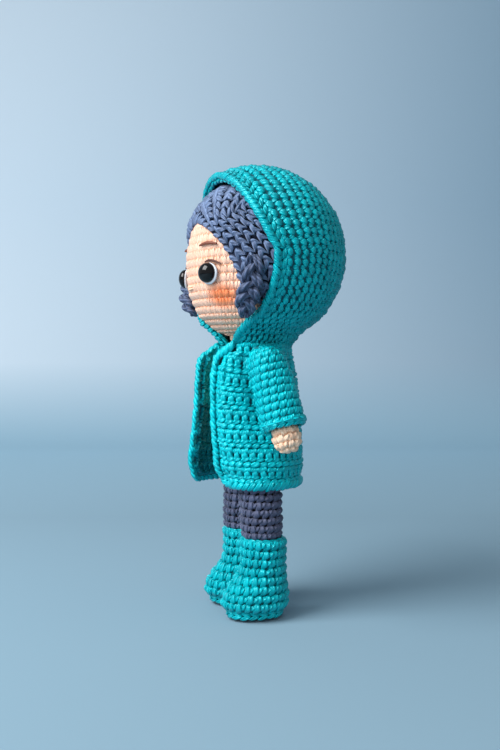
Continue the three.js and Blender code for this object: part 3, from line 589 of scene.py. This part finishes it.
def makeHead():
    rises = np.radians(np.linspace(head["lowRise"], 90, head["steps"]))
    spokes = [[direction(a, rise) for a in turnAll] for rise in rises]
    grid = evenRows(castGrid(rayTree("head"), [headCentre] * len(rises), spokes), head["pitch"])
    places = gridPlaces(grid, "face", head["drift"], head["lift"])
    away = places[:, :, 3] - np.array(headCentre)
    turn = np.degrees(np.arctan2(away[:, 0], -away[:, 1]))
    bare = away[:, 2] / headHalfHeight < borderAt(turn) + head["hairMargin"]
    piece = gather(
        "face",
        groundCloth("ground", grid, skinGround, head["depth"], capFoot=True),
        sewStitches("rows", "face", places[bare], faceYarn, head["loose"]))
    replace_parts(piece, "head", "head_stuffing", "eye_washer_left", "eye_washer_right")
    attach(piece, "doll")


def makeBody():
    middle = fromFeet(0, torso["behind"], 0)
    grid = tubeGrid("body", middle, torso)
    rise = grid[:, :, 2] / mm
    ahead = follow(torso["neckFront"], rise) * np.maximum(0, np.cos(turnAll))
    grid = pushOut(grid, middle, follow(torso["allRound"], rise) + ahead)
    piece = closedForm("torso", grid, torso, skinGround, handYarn)
    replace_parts(piece, "body", "body_stuffing", "neck_rod", "shoulder_cord")
    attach(piece, "doll")


makeHead()
makeBody()
print("head and body made")

# arms, which hang a little outwards and back
arm = {"backDeg": 9, "outDeg": 15.5}
sleeve = {"low": -30.2, "high": 8.4, "steps": 50, "pitch": 3.8, "drift": 0.1, "lift": -1.1, "nearBody": 18.0,
          "cuffCentre": 30.5, "cuffFlare": 0.7, "cuff": {"lift": -1.1, "wide": 0.85},
          "cloth": {"depth": 1.4, "thickness": 1.0}, "flat": (0.054, 0.038)}
hand = {"low": -42.85, "high": -22, "steps": 60, "pitch": 4.3, "kind": "hand", "drift": 0.3, "lift": -1.1,
        "depth": 1.2}


def makeArm(side, sign):
    back = Matrix.Rotation(math.radians(arm["backDeg"]), 3, "X")
    down = back @ Matrix.Rotation(math.radians(-arm["outDeg"]), 3, "Y") @ -up
    down.x *= sign
    hub = Vector((shoulder.x * sign, shoulder.y, shoulder.z))
    front = (forwards - down * forwards.dot(down)).normalized()
    grid = tubeGrid("sleeve_" + side, hub, sleeve, -down, front)
    rows = gridPlaces(grid, "sleeve", sleeve["drift"], sleeve["lift"])
    rows = rows[np.abs(rows[:, 0, 3]) > sleeve["nearBody"] * mm]
    cuffOut = unit(grid[0] - np.array(hub + down * sleeve["cuffCentre"] * mm))
    cuffOut = unit(cuffOut + sleeve["cuffFlare"] * np.array(down))
    cuff = edgePlaces(grid[0], cuffOut, closed=True, **sleeve["cuff"])
    cloth = groundCloth("sleeve_" + side + "_cloth", grid, softGround, **sleeve["cloth"])
    loops = gather("sleeve_" + side + "_loops",
                   sewStitches("rows", "sleeve", rows, tealYarn),
                   sewStitches("trim", "chain", cuff, tealYarn))
    for piece in (cloth, loops):
        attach(piece, "arm_" + side)
    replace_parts(cloth, "sleeve_" + side)

    grid = tubeGrid("arm_" + side, hub, hand, -down, front)
    piece = closedForm("hand_" + side, grid, hand, skinGround, handYarn)
    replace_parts(piece, "arm_" + side, "arm_stuffing_" + side)
    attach(piece, "arm_" + side)


for side, sign in sides.items():
    makeArm(side, sign)
print("arms made")

# coat: one run of cloth from the left front edge round the back to the right front edge
coat = {"behind": 1.5, "foot": 65.4, "hem": 67.3, "top": 132.6, "rows": 44, "columns": 90,
        "clothPitch": 3, "depth": 1.4, "thickness": 0.5,
        "flapTop": 126.5, "neckReach": 17.8, "neckEdge": {"left": 43, "right": 30},
        "widen": {"left": 9, "right": 0}, "edgeColumns": 16,
        "bulge": {"left": [(66, 0.8), (80, 1.4), (95, 2.4), (118, 2.6), (129, 0.8)],
                  "right": [(66, 0.8), (90, 1.2), (110, 2.2), (123, 2.4), (131, 0.4)]},
        "hemTuck": 1.6, "hemHeight": 8, "corner": [2.6, 1.2, 0.4],
        "band": 9.2, "postShare": 0.68, "finePitch": 0.5, "lapel": 103, "insideGap": 1.4,
        "post": {"drift": 0.2, "lift": -1.0}, "bar": {"drift": 0.3, "lift": -0.9},
        "ropeAt": {"left": (1.2, 1.0), "hem": (0.6, 0), "right": (0.8, 0.3)}, "ropeLean": 0.25,
        "ropeRounds": 16, "ropeWide": 1.2,
        "underCord": 1.6, "frontsWay": (-0.75, -0.66), "frontsEnd": 10, "bend": (6, 30), "bendTilt": 14,
        "backFlat": (0.085, 0.064), "frontFlat": {"left": (0.0235, 0.06), "right": (0.0225, 0.061)}}


def coatGrid():
    tree = rayTree("coat_back", "coat_front_left", "coat_front_right")
    middle = fromFeet(0, coat["behind"], 0)
    heights = np.linspace(coat["foot"], coat["top"], coat["rows"]) * mm
    hem = coat["hem"] * mm
    flapTop = coat["flapTop"] * mm

    def edgeTurn(height, sign):
        # where the cloth's front edge lies at a height, in degrees round from the front
        for turn in np.arange(45, 2, -0.5):
            if np.isnan(reachOf(tree, middle + up * height, direction(math.radians(turn) * sign))):
                return turn + 1
        return 2

    angles = []
    for height in heights:
        neck = max(0, (height - flapTop) / (coat["top"] * mm - flapTop))
        ends = []
        for side, sign in sides.items():
            edge = edgeTurn(min(max(height, hem), flapTop), sign) - coat["widen"][side]
            ends.append(edge * (1 - neck) + coat["neckEdge"][side] * neck)
        angles.append(np.radians(np.linspace(ends[0], 360 - ends[1], coat["columns"])))
    grid = ringGrid(tree, middle, up, forwards, np.maximum(heights, hem), np.array(angles), closed=False)
    grid[:, :, 2] = heights[:, None]
    below = int(np.searchsorted(heights, flapTop)) - 1
    for row in range(below + 1, len(heights)):  # narrows to the neck
        neck = (heights[row] - heights[below]) / (heights[-1] - heights[below])
        hub = np.array(middle)
        hub[2] = heights[row]
        reach = np.linalg.norm(grid[below, :, :2] - hub[:2], axis=1)
        reach = reach * (1 - neck) + coat["neckReach"] * mm * neck
        grid[row] = hub + unit(grid[row] - hub) * reach[:, None]
    fromEdge = np.arange(coat["columns"]) / coat["edgeColumns"]
    for side, away in (("left", fromEdge), ("right", fromEdge[::-1])):
        share = np.clip(1 - away, 0, 1) ** 1.5
        grid = pushOut(grid, middle, follow(coat["bulge"][side], heights / mm)[:, None] * share)
    low = np.clip(1 - (heights - heights[0]) / (coat["hemHeight"] * mm), 0, 1)
    grid = pushOut(grid, middle, -low[:, None] * coat["hemTuck"])
    for column, raised in enumerate(coat["corner"]):  # the hem's corners are rounded
        grid[:, column, 2] += low * raised * mm
        grid[:, -1 - column, 2] += low * raised * mm
    return grid


def coatBands(grid):
    # every band is a row of tall posts over a low bar ridge
    evened = evenRows(grid, coat["finePitch"])
    total = len(evened) - 1
    bandCount = round(total * coat["finePitch"] / coat["band"])
    made = {"post": [], "bar": []}
    for band in range(bandCount):
        cuts = [(band + share) / bandCount * total for share in (0, 1 - coat["postShare"], 1)]
        low, middle, high = (evened[min(total, round(cut))] for cut in cuts)
        for kind, edges in (("bar", (low, middle)), ("post", (middle, high))):
            start = 0.5 + band * coat[kind]["drift"]
            made[kind].append(rowPlaces(*edges, kind, False, start, coat[kind]["lift"]))
    return {kind: np.concatenate(places) for kind, places in made.items()}


def insideOf(places):
    # the same stitches on the cloth's other side
    flipped = places.copy()
    flipped[:, :, 0] *= -1
    flipped[:, :, 2] *= -1
    flipped[:, :, 3] -= places[:, :, 2] * coat["insideGap"]
    return flipped


def coatSplit():
    # the swinging lines that part the fronts from the back, and the way from them to the front
    lines = {}
    for side, sign in sides.items():
        joint = next(j for j in frame["joints"] if j["child"] == "coat_front_" + side)
        axis = Vector(joint["axis"]).normalized() * sign
        inwards, ahead = coat["frontsWay"]
        lean = Vector((inwards * sign, ahead, 0))
        lines[side] = (Vector(joint["pos_m"]), (lean - axis * lean.dot(axis)).normalized(), axis)
    return lines


def sideOf(points, lines):
    found = np.full(len(points), "back", dtype=object)
    for side, sign in sides.items():
        pivot, away, _ = lines[side]
        beyond = (points - np.array(pivot)) @ np.array(away) > 0
        ahead = points[:, 1] < legLineY + coat["frontsEnd"] * mm
        found[beyond & ahead & (points[:, 0] * sign > -2 * mm)] = side
    return found


def cutCloth(whole, side, lines):
    # a copy of the cloth that keeps only one piece's faces
    piece = whole.copy()
    piece.data = whole.data.copy()
    bpy.context.collection.objects.link(piece)
    others = sideOf(np.array([f.center for f in piece.data.polygons]), lines) != side
    pick(piece)
    bpy.ops.object.mode_set(mode="EDIT")
    bpy.ops.mesh.select_mode(type="FACE")
    bpy.ops.mesh.select_all(action="DESELECT")
    bpy.ops.object.mode_set(mode="OBJECT")
    piece.data.polygons.foreach_set("select", others)
    bpy.ops.object.mode_set(mode="EDIT")
    bpy.ops.mesh.delete(type="FACE")
    bpy.ops.object.mode_set(mode="OBJECT")
    return piece


def easePath(path, rounds):
    # evens a path's steps and rounds its corners
    run = runOf(path)
    path = resample(path, run, np.linspace(0, run[-1], max(3, round(run[-1] / mm))))
    for _ in range(rounds):
        path[1:-1] = (path[:-2] + 2 * path[1:-1] + path[2:]) / 4
    return path


def coatRope(ground):
    # the cord that runs down the left front edge, along the hem and up the right one
    across = np.gradient(ground, axis=1)
    outwards = unit(np.cross(across, np.gradient(ground, axis=0)))
    edges = {"left": (slice(None, 0, -1), 0), "hem": (0, slice(None)), "right": (slice(1, None), -1)}
    aways = {"left": -unit(across[edges["left"]]), "hem": np.tile([0, 0, -1.0], (ground.shape[1], 1)),
             "right": unit(across[edges["right"]])}
    parts = []
    for part, edge in edges.items():
        reach, lift = coat["ropeAt"][part]
        beyond = ground[edge] + (aways[part] * reach + outwards[edge] * lift) * mm
        parts.append(np.hstack([beyond, outwards[edge] + coat["ropeLean"] * aways[part]]))
    path = easePath(np.concatenate(parts), coat["ropeRounds"])
    return edgePlaces(path[:, :3], unit(path[:, 3:]), kind="rope", wide=coat["ropeWide"])


def makeCoat():
    grid = coatGrid()
    ground = evenRows(grid, coat["clothPitch"])
    rows = {**coatBands(grid), "rope": coatRope(ground)}
    turnedIn = ground[:, :1] + unit(ground[:, :1] - ground[:, 1:2]) * coat["underCord"] * mm
    whole = groundCloth("ground", np.hstack([turnedIn, ground]), tealGround, coat["depth"], closed=False)
    lines = coatSplit()
    for side in ("left", "right", "back"):
        part = "back" if side == "back" else "front_" + side
        cloth = cutCloth(whole, side, lines)
        cloth.name = part + "_cloth"
        thicken(cloth, coat["thickness"])
        sewn = []
        for kind, places in rows.items():
            mine = places[sideOf(places[:, :, 3], lines) == side]
            sewn.append(sewStitches(kind, kind, mine, tealYarn))
            if side != "back" and kind != "rope":  # the inside below the lapel is painted darker, as painted shade
                lapel = mine[:, 2, 3] > coat["lapel"] * mm
                sewn.append(sewStitches(kind, kind, insideOf(mine[~lapel]), shadedYarn))
                sewn.append(sewStitches(kind, kind, insideOf(mine[lapel]), tealYarn))
        loops = gather(part + "_loops", *sewn)
        if side == "back":
            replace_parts(cloth, "coat_back")
            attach(cloth, "doll")
            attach(loops, "doll")
            continue
        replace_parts(cloth, "coat_front_" + side)
        for piece in (cloth, loops):
            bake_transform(piece)
    bpy.data.objects.remove(whole)


makeCoat()
print("coat made")

# hood: rows run up one side, over the top and down the other; depth and reach are shares of its radius
hood = {"rows": 18, "topDeg": -30, "rimDeg": -8.4, "rimCurve": 0.8, "foot": 1.05, "lowerSteps": 26,
        "upperSteps": 60, "drift": 0.13, "lift": -1.2, "edge": {"kind": "rope", "lift": -0.9},
        "secondRow": 0.65, "second": {"lift": -0.9, "wide": 1.1},
        "innerDepth": 2.2, "inner": {"lift": -0.6, "wide": 0.8},
        "cloth": {"depth": 1.3, "thickness": 1.0}, "bend": (150, 188), "flat": (0.165, 0.092)}
hoodNeck = [(0.785, 0.6), (0.891, 0.478), (1.05, 0.365)]  # depth and reach below the ball
rimTurns = {  # depth and turn of the rim
    "left": [(0, -8.4), (0.22, -8.0), (0.35, -9.5), (0.47, -10.6), (0.57, -13.5), (0.68, -17),
             (0.8, -33), (0.9, -47), (1.05, -62)],
    "right": [(0, -8.4), (0.22, -8.5), (0.35, -12), (0.5, -20), (0.6, -30), (0.68, -46),
              (0.78, -54), (0.9, -58), (1.05, -60)]}


def hoodGrid():
    depths = np.linspace(0, hood["foot"], hood["lowerSteps"])
    ball = np.sqrt(np.maximum(0, 1 - depths ** 2))
    reach = np.where(depths < hoodNeck[0][0], ball, follow(hoodNeck, depths))
    thetas = np.radians(np.linspace(90, -90, hood["upperSteps"]))
    arch = np.maximum(0, np.cos(thetas)) ** hood["rimCurve"]
    topRim = hood["rimDeg"] + (hood["topDeg"] - hood["rimDeg"]) * arch
    grid = []
    for row in range(hood["rows"] + 1):
        share = row / hood["rows"]
        lower = {}
        for side, sign in sides.items():
            rim = follow(rimTurns[side], depths)
            turns = np.radians(rim + (90 - rim) * share)
            lower[side] = np.stack([sign * reach * np.cos(turns), reach * np.sin(turns), -depths], 1)
        tilt = np.radians(topRim + (90 - topRim) * share)
        upper = np.stack([np.cos(tilt) * np.sin(thetas), np.sin(tilt), np.cos(tilt) * np.cos(thetas)], 1)
        line = np.vstack([lower["left"][:0:-1], upper, lower["right"][1:]])
        grid.append(line[::-1] * hoodRadius + np.array(hoodCentre))
    return np.array(grid)


def makeHood():
    grid = hoodGrid()
    rows = [rowPlaces(low, high, "pearl", False, 0.5 + hood["drift"] * (row % 3), hood["lift"])
            for row, (low, high) in enumerate(zip(grid[1:-1], grid[2:]))]
    rim = grid[0]
    ball = unit(rim - np.array(hoodCentre))
    edge = edgePlaces(rim, unit(ball + np.array(forwards) * 0.8), **hood["edge"])
    nextLine = rim * (1 - hood["secondRow"]) + grid[1] * hood["secondRow"]
    second = edgePlaces(nextLine, ball, **hood["second"])
    innerOut = unit(ball * 0.2 + np.array(forwards))
    inner = edgePlaces(rim - ball * hood["innerDepth"] * mm, innerOut, **hood["inner"])
    loops = sewStitches("hood_loops", "pearl", np.concatenate(rows), hoodYarn)
    trim = gather("hood_trim",
                  sewStitches("edge", "rope", edge, hoodYarn),
                  sewStitches("second", "chain", np.concatenate([second, inner]), hoodYarn))
    cloth = groundCloth("hood_cloth", grid, tealGround, closed=False, **hood["cloth"])
    for piece in (cloth, loops, trim):
        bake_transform(piece)
    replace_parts(cloth, "hood", "hood_lower")


makeHood()
print("hood made")

# hair: knitted columns beside the face, from the parting down to the plaits, and level rows behind
hair = {"columns": 7, "steps": 40, "frontTurn": 61, "backTurn": 128, "backShare": -0.42, "crownRise": 140,
        "lowRise": 1.4, "highRise": 5.6, "riseRate": 3.5, "hoodRoom": 3.4,
        "capLow": -24, "capHigh": 86, "capRows": 12, "capColumns": 60, "capOpen": [(0, 84), (45, 60)],
        "capOffset": 3.6, "clear": 3.4, "drift": 0.3}
hairCloth = {"columns": 72, "steps": 26, "topDeg": 89, "radius": 37, "offsets": [(0, -0.4), (10, 2.2)],
             "hoodRoom": 5.2, "thickness": 0.6, "flat": (0.13, 0.11), "area": 0.0109}


def headPoint(degrees, share, offset):
    # a place off the head, by the turn from the front and its height share
    turn = math.radians(degrees)
    height = share * (headHalfHeight + offset * mm)
    reach = (headRadius + offset * mm) * (1 - min(1, abs(share)) ** headSquareness) ** (1 / headSquareness)
    return headCentre + Vector((reach * math.sin(turn), -reach * math.cos(turn), height))


def offHead(way, offset):
    # a place off the head in the direction given
    flat = math.hypot(way.x, way.y) / (headRadius + offset * mm)
    high = abs(way.z) / (headHalfHeight + offset * mm)
    return headCentre + way * (flat ** headSquareness + high ** headSquareness) ** (-1 / headSquareness)


def underHood(place, room):
    # draws a place in until it is the given millimetres inside the hood's ball
    away = place - hoodCentre
    return hoodCentre + away * min(1, (hoodRadius - room * mm) / away.length)


def hairGrid(sign):
    front, back = [], []
    for share in np.linspace(0, 1, hair["steps"]):
        turn = hair["frontTurn"] * share
        front.append((headPoint(turn * sign, borderAt(turn), 0) - headCentre).normalized())
        lift = math.radians(hair["crownRise"] * (1 - share))
        across = math.radians(hair["backTurn"]) * share
        back.append(Vector((math.sin(across) * sign, -math.cos(max(lift, across)),
                            math.sin(lift) + hair["backShare"] * share)).normalized())
    grid = []
    for column in range(hair["columns"] + 1):
        share = column / hair["columns"]
        offset = hair["lowRise"] + (hair["highRise"] - hair["lowRise"]) * min(1, share * hair["riseRate"])
        ways = [a.slerp(b, share) for a, b in zip(front, back)]
        line = [underHood(offHead(way, offset), hair["hoodRoom"]) for way in ways]
        grid.append(line if sign > 0 else line[::-1])
    return np.array(grid)


def backGrid():
    # the back of the hair, under the hood, in level rows
    grid = []
    for degrees in np.linspace(hair["capLow"], hair["capHigh"], hair["capRows"] + 1):
        opening = follow(hair["capOpen"], degrees)
        turns = np.radians(np.linspace(opening, 360 - opening, hair["capColumns"]))
        grid.append([offHead(direction(turn, math.radians(degrees)), hair["capOffset"]) for turn in turns])
    return np.array(grid)


def clothGrid():
    # the cap's ground, from its edge beside the face up to the crown
    turns = np.linspace(-180, 180, hairCloth["columns"], endpoint=False)
    edges = [headPoint(turn, borderAt(turn), 0) - headCentre for turn in turns]
    lows = [math.atan2(edge.z, math.hypot(edge.x, edge.y)) for edge in edges]
    grid = []
    for share in np.linspace(0, 1, hairCloth["steps"]):
        line = []
        for turn, low in zip(np.radians(turns), lows):
            rise = low + (math.radians(hairCloth["topDeg"]) - low) * share
            offset = follow(hairCloth["offsets"], (rise - low) * hairCloth["radius"])
            line.append(underHood(offHead(direction(turn, rise), offset), hairCloth["hoodRoom"]))
        grid.append(line)
    return np.array(grid)


def makeHair():
    beside = [gridPlaces(hairGrid(sign), "knit", hair["drift"], closed=False) for sign in sides.values()]
    places = np.concatenate(beside)
    behind = gridPlaces(backGrid(), "knit", hair["drift"], closed=False)
    gaps = [np.linalg.norm(places[:, :, 3] - at, axis=1).min() for at in behind[:, :, 3]]
    behind = behind[np.array(gaps) > hair["clear"] * mm]
    cloth = groundCloth("hair_cloth", clothGrid(), hairGround, 0, thickness=hairCloth["thickness"])
    loops = sewStitches("hair_loops", "knit", np.concatenate([places, behind]), hairYarn)
    for piece in (cloth, loops):
        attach(piece, "doll")
    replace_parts(cloth, "hair_cap")


makeHair()
print("hair made")

# plaits of three strands, each of three cords
plait = {"strands": 3, "cords": 3, "cord": 2.5, "bundle": 1.2, "swing": 3.3, "depth": 2.3, "lift": 2.5,
         "turns": 1.45, "cordTurns": 1.4, "offset": 3, "steps": 80,
         "sizes": [(0, 0.6), (0.15, 0.95), (0.6, 1.12), (0.85, 0.9), (1, 0.35)],
         "left": [(69, 0.04), (67.5, -0.27), (63.5, -0.45), (61, -0.67)],
         "right": [(58, 0.04), (53, -0.22), (48, -0.42), (46, -0.6)]}


def newCurve(kind, points):
    curve = bpy.data.curves.new("curve", "CURVE")
    curve.dimensions = "3D"
    spline = curve.splines.new(kind)
    knots = spline.bezier_points if kind == "BEZIER" else spline.points
    knots.add(len(points) - 1)
    return curve, knots


def roundPiece(name, curve, width, material):
    # a round cord or thread along a curve
    curve.bevel_depth = width / 2 * mm
    curve.bevel_resolution = 3
    curve.use_fill_caps = True
    piece = bpy.data.objects.new(name, curve)
    bpy.context.collection.objects.link(piece)
    pick(piece)
    bpy.ops.object.convert(target="MESH")
    paint(piece.data, material)
    return piece


def plaitCord(points, sizes):
    curve, knots = newCurve("POLY", points)
    for knot, point, size in zip(knots, points, sizes):
        knot.co = (*point, 1)
        knot.radius = size
    cord = roundPiece("cord", curve, plait["cord"], plaitYarn)
    layer = cord.data.uv_layers[0]
    layer.name = "yarn"
    uvs = np.zeros(len(layer.data) * 2)
    layer.data.foreach_get("uv", uvs)
    uvs = uvs.reshape(-1, 2)[:, ::-1] * [1, runOf(points)[-1] / mm / 5]  # round the cord, then along it
    layer.data.foreach_set("uv", uvs.ravel())
    return cord


def makePlait(side, sign):
    line = np.array([headPoint(turn * sign, share, plait["offset"]) for turn, share in plait[side]])
    path = sample(line, np.linspace(0, len(line) - 1, plait["steps"]), False)
    out = unit((path - np.array(headCentre)) * [1, 1, 0])
    across = np.cross([0, 0, 1], out)
    along = np.linspace(0, 1, plait["steps"])
    sizes = follow(plait["sizes"], along)
    cords = []
    for strand in range(plait["strands"]):
        phase = 2 * math.pi * (plait["turns"] * along + strand / plait["strands"])
        swing = np.sin(phase) * plait["swing"] * sizes
        rise = np.sin(2 * phase) * plait["depth"] * sizes + plait["lift"]
        middle = path + across * swing[:, None] * mm + out * rise[:, None] * mm
        for cord in range(plait["cords"]):
            turn = 2 * math.pi * (cord / plait["cords"] + along * plait["cordTurns"])
            spoke = across * np.cos(turn)[:, None] + out * np.sin(turn)[:, None]
            cords.append(plaitCord(middle + spoke * (plait["bundle"] * mm * sizes)[:, None], sizes))
    piece = gather("plait_" + side, *cords)
    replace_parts(piece, "braid_" + side)
    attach(piece, "braid_" + side)


for side, sign in sides.items():
    makePlait(side, sign)
print("plaits made")

# eyes and embroidery
face = {"eyeDeg": 30.5, "eyeHeight": 166, "eyeRadius": 4.7, "eyeOut": 0.9, "dome": 3.3, "domeSteps": 6,
        "feltRadius": 5.05, "feltRings": [(1, 0.6), (0.94, 0.25), (0.3, 0.05)],
        "feltShift": (0.6, -0.36, 0.1), "threadOut": 0.5, "threadEnds": 0.6,
        "lash": [(27.5, 0.004), (31, 0.022), (36, 0.012), (42.5, -0.034)],
        "brow": [(20.5, 0.226), (27, 0.247), (33, 0.245), (38.5, 0.228)],
        "nose": [(-5.5, -0.6), (-2, 0.1), (2, 0.1), (5.5, -0.6)], "noseShare": -11 / 36, "noseGap": 0.028}


def eyeMaterial():
    gloss, tree, shader = newMaterial("eye gloss")
    speck = noise(tree, objectPlace(tree), Scale=400)
    shown = mixColour(tree, speck, linear((5, 5, 7)), linear((12, 12, 15)))
    setInputs(tree, shader, {"Base Color": shown, "Roughness": 0.05, "Specular IOR Level": 0.36})
    return gloss


eyeGloss = eyeMaterial()
feltWhite = clothMaterial("white felt", (226, 232, 240), (196, 204, 214), grain=1600, roughness=0.9)
lashThread = clothMaterial("brown thread", (112, 66, 56), (70, 40, 34), grain=1400, roughness=0.6)
browThread = clothMaterial("red brown thread", (142, 82, 62), (104, 58, 42), grain=1400, roughness=0.6)
noseThread = clothMaterial("nose thread", (252, 212, 182), (240, 184, 148), grain=1400, roughness=0.6)


def faceFrame(degrees, height):
    # turns a piece that faces +Z to lie on the face
    place = headPoint(degrees, (height * mm - headCentre.z) / headHalfHeight, 0)
    out = direction(math.radians(degrees))
    return Matrix.Translation(place) @ Matrix((up.cross(out), up, out)).transposed().to_4x4()


def discPiece(name, radius, rings, matrix, material):
    # built up by extruding ever smaller rings
    bpy.ops.mesh.primitive_circle_add(vertices=32, radius=radius * mm, fill_type="NGON")
    piece = bpy.context.object
    piece.name = name
    bpy.ops.object.mode_set(mode="EDIT")
    bpy.ops.mesh.select_mode(type="FACE")
    bpy.ops.mesh.select_all(action="SELECT")
    size = 1.0
    for scale, rise in rings:
        bpy.ops.mesh.extrude_region_move(TRANSFORM_OT_translate={"value": (0, 0, rise * mm)})
        bpy.ops.transform.resize(value=(scale / size, scale / size, 1))
        size = scale
    bpy.ops.mesh.select_all(action="SELECT")
    bpy.ops.mesh.normals_make_consistent(inside=False)
    bpy.ops.object.mode_set(mode="OBJECT")
    piece.data.transform(matrix)
    paint(piece.data, material)
    return piece


def thread(name, points, width, material):
    # thinner at both ends
    curve, knots = newCurve("BEZIER", points)
    for i, point in enumerate(points):
        knots[i].co = point
        knots[i].handle_left_type = knots[i].handle_right_type = "AUTO"
        knots[i].radius = face["threadEnds"] if i in (0, len(points) - 1) else 1
    return roundPiece(name, curve, width, material)


def makeFace():
    dome = [(1, 0.5)]
    step = math.pi / 2 / face["domeSteps"]
    for i in range(face["domeSteps"]):
        rise = face["dome"] * (math.sin((i + 1) * step) - math.sin(i * step))
        dome.append((max(0.02, math.cos((i + 1) * step)), rise))
    for side, sign in sides.items():
        matrix = faceFrame(sign * face["eyeDeg"], face["eyeHeight"])
        eyeAt = matrix @ Matrix.Translation((0, 0, face["eyeOut"] * mm))
        eye = discPiece("eye_dome_" + side, face["eyeRadius"], dome, eyeAt, eyeGloss)
        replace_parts(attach(eye, "doll"), "eye_" + side)
        x, y, z = face["feltShift"]
        feltAt = matrix @ Matrix.Translation((sign * x * mm, y * mm, z * mm))
        felt = discPiece("eye_felt_" + side, face["feltRadius"], face["feltRings"], feltAt, feltWhite)
        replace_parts(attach(felt, "doll"), "eye_white_" + side)
        for name, width, material, slot in (("lash", 1.1, lashThread, "thread_brown"),
                                            ("brow", 1.6, browThread, "thread_red_brown")):
            points = [headPoint(turn * sign, share, face["threadOut"]) for turn, share in face[name]]
            piece = thread(name + "_" + side + "_thread", points, width, material)
            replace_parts(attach(piece, "doll"), name + "_" + side)
    strands = []
    for place in (-0.5, 0.5):
        share = face["noseShare"] + place * face["noseGap"]
        points = [headPoint(turn, share, offset) for turn, offset in face["nose"]]
        strands.append(thread("strand", points, 1.2, noseThread))
    nose = gather("nose_threads", *strands)
    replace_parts(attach(nose, "doll"), "nose_stitch")


makeFace()
print("face made")

for stitch in stitches.values():
    bpy.data.objects.remove(stitch["model"])


# floor, backdrop and light; a lamp's place is right of the doll, towards the camera and up
# the paper is one sheet, but its colours are painted light: the floor lighter far off and up into the wall,
# and the wall lighter at the camera's left than at its right
studio = {"floor": (128, 158, 175), "farFloor": (152, 189, 209), "floorLightRamp": (2.4, -0.55),
          "wallLeft": (213, 230, 243), "wallRight": (152, 181, 201), "wallLightRamp": (1.1, 0.5), "wallRise": 9,
          "front": -1.2, "size": 3.0, "wallDistance": 1.1, "bend": 0.4, "bendSteps": 14,
          "light": (0.92, 0.96, 1), "lightPower": 0.42, "pastEnds": (150, 181, 202),
          "aimHeight": 0.11, "key": {"place": (-0.66, 0.34, 0.78), "size": 0.6, "power": 12},
          "fill": {"place": (-0.75, 0.85, 0.4), "size": 1.4, "power": 10.5}}


def rampNode(tree, place, way, slope, offset):
    # how far a place lies along a way, as a share
    reach = addNode(tree, "VectorMath", {0: place, 1: way}, operation="DOT_PRODUCT").outputs["Value"]
    return mathNode(tree, "MULTIPLY_ADD", reach, slope, offset, clamp=True)


def paperMaterial():
    paper, tree, shader = newMaterial("backdrop paper")
    place = objectPlace(tree)
    # painted light: colour ramps across the wall, out along the floor and up from floor to wall
    across = rampNode(tree, place, cameraRight, *studio["wallLightRamp"])
    wall = mixColour(tree, across, linear(studio["wallLeft"]), linear(studio["wallRight"]))
    far = rampNode(tree, place, -towardsCamera, *studio["floorLightRamp"])
    floor = mixColour(tree, far, linear(studio["floor"]), linear(studio["farFloor"]))
    height = addNode(tree, "SeparateXYZ", {0: place}).outputs[2]
    rise = mathNode(tree, "MULTIPLY", height, studio["wallRise"], clamp=True)
    setInputs(tree, shader, {"Base Color": mixColour(tree, rise, floor, wall), "Roughness": 0.95})
    return paper


def makeStudio():
    wall, bend, steps = studio["wallDistance"], studio["bend"], studio["bendSteps"]
    profile = [(studio["front"], 0)]
    for i in range(steps + 1):
        turn = i / steps * math.pi / 2
        profile.append((wall - bend + bend * math.sin(turn), bend * (1 - math.cos(turn))))
    profile.append((wall, studio["size"]))
    points = []
    for away, height in profile:
        for side in (-1, 1):
            place = -towardsCamera * away + cameraRight * side * studio["size"]
            points.append((place.x, place.y, height))
    faces = [(2 * i, 2 * i + 1, 2 * i + 3, 2 * i + 2) for i in range(len(profile) - 1)]
    newPiece("backdrop", points, faces, paperMaterial())


def addLamp(name):
    right, near, high = studio[name]["place"]
    place = cameraRight * right + towardsCamera * near + up * high
    bpy.ops.object.light_add(type="AREA", location=place)
    lamp = bpy.context.object
    lamp.name = name
    lamp.data.size = studio[name]["size"]
    lamp.data.energy = studio[name]["power"]
    lamp.rotation_euler = (up * studio["aimHeight"] - place).to_track_quat("-Z", "Y").to_euler()
    return lamp


def makeWorld():
    world = bpy.data.worlds.new("studio")
    bpy.context.scene.world = world
    world.use_nodes = True
    tree = world.node_tree
    light = tree.nodes["Background"]
    setInputs(tree, light, {0: studio["light"], 1: studio["lightPower"]})
    seen = addNode(tree, "Background", {0: linear(studio["pastEnds"])})  # past the backdrop's ends
    whose = addNode(tree, "LightPath", {}).outputs["Is Camera Ray"]
    either = addNode(tree, "MixShader", {0: whose, 1: light.outputs[0], 2: seen.outputs[0]})
    tree.links.new(either.outputs[0], tree.nodes["World Output"].inputs[0])


makeStudio()
addLamp("key")
addLamp("fill").visible_glossy = False  # the eyes show the key light alone
makeWorld()
bpy.context.scene.view_settings.view_transform = "Standard"
print("studio made")
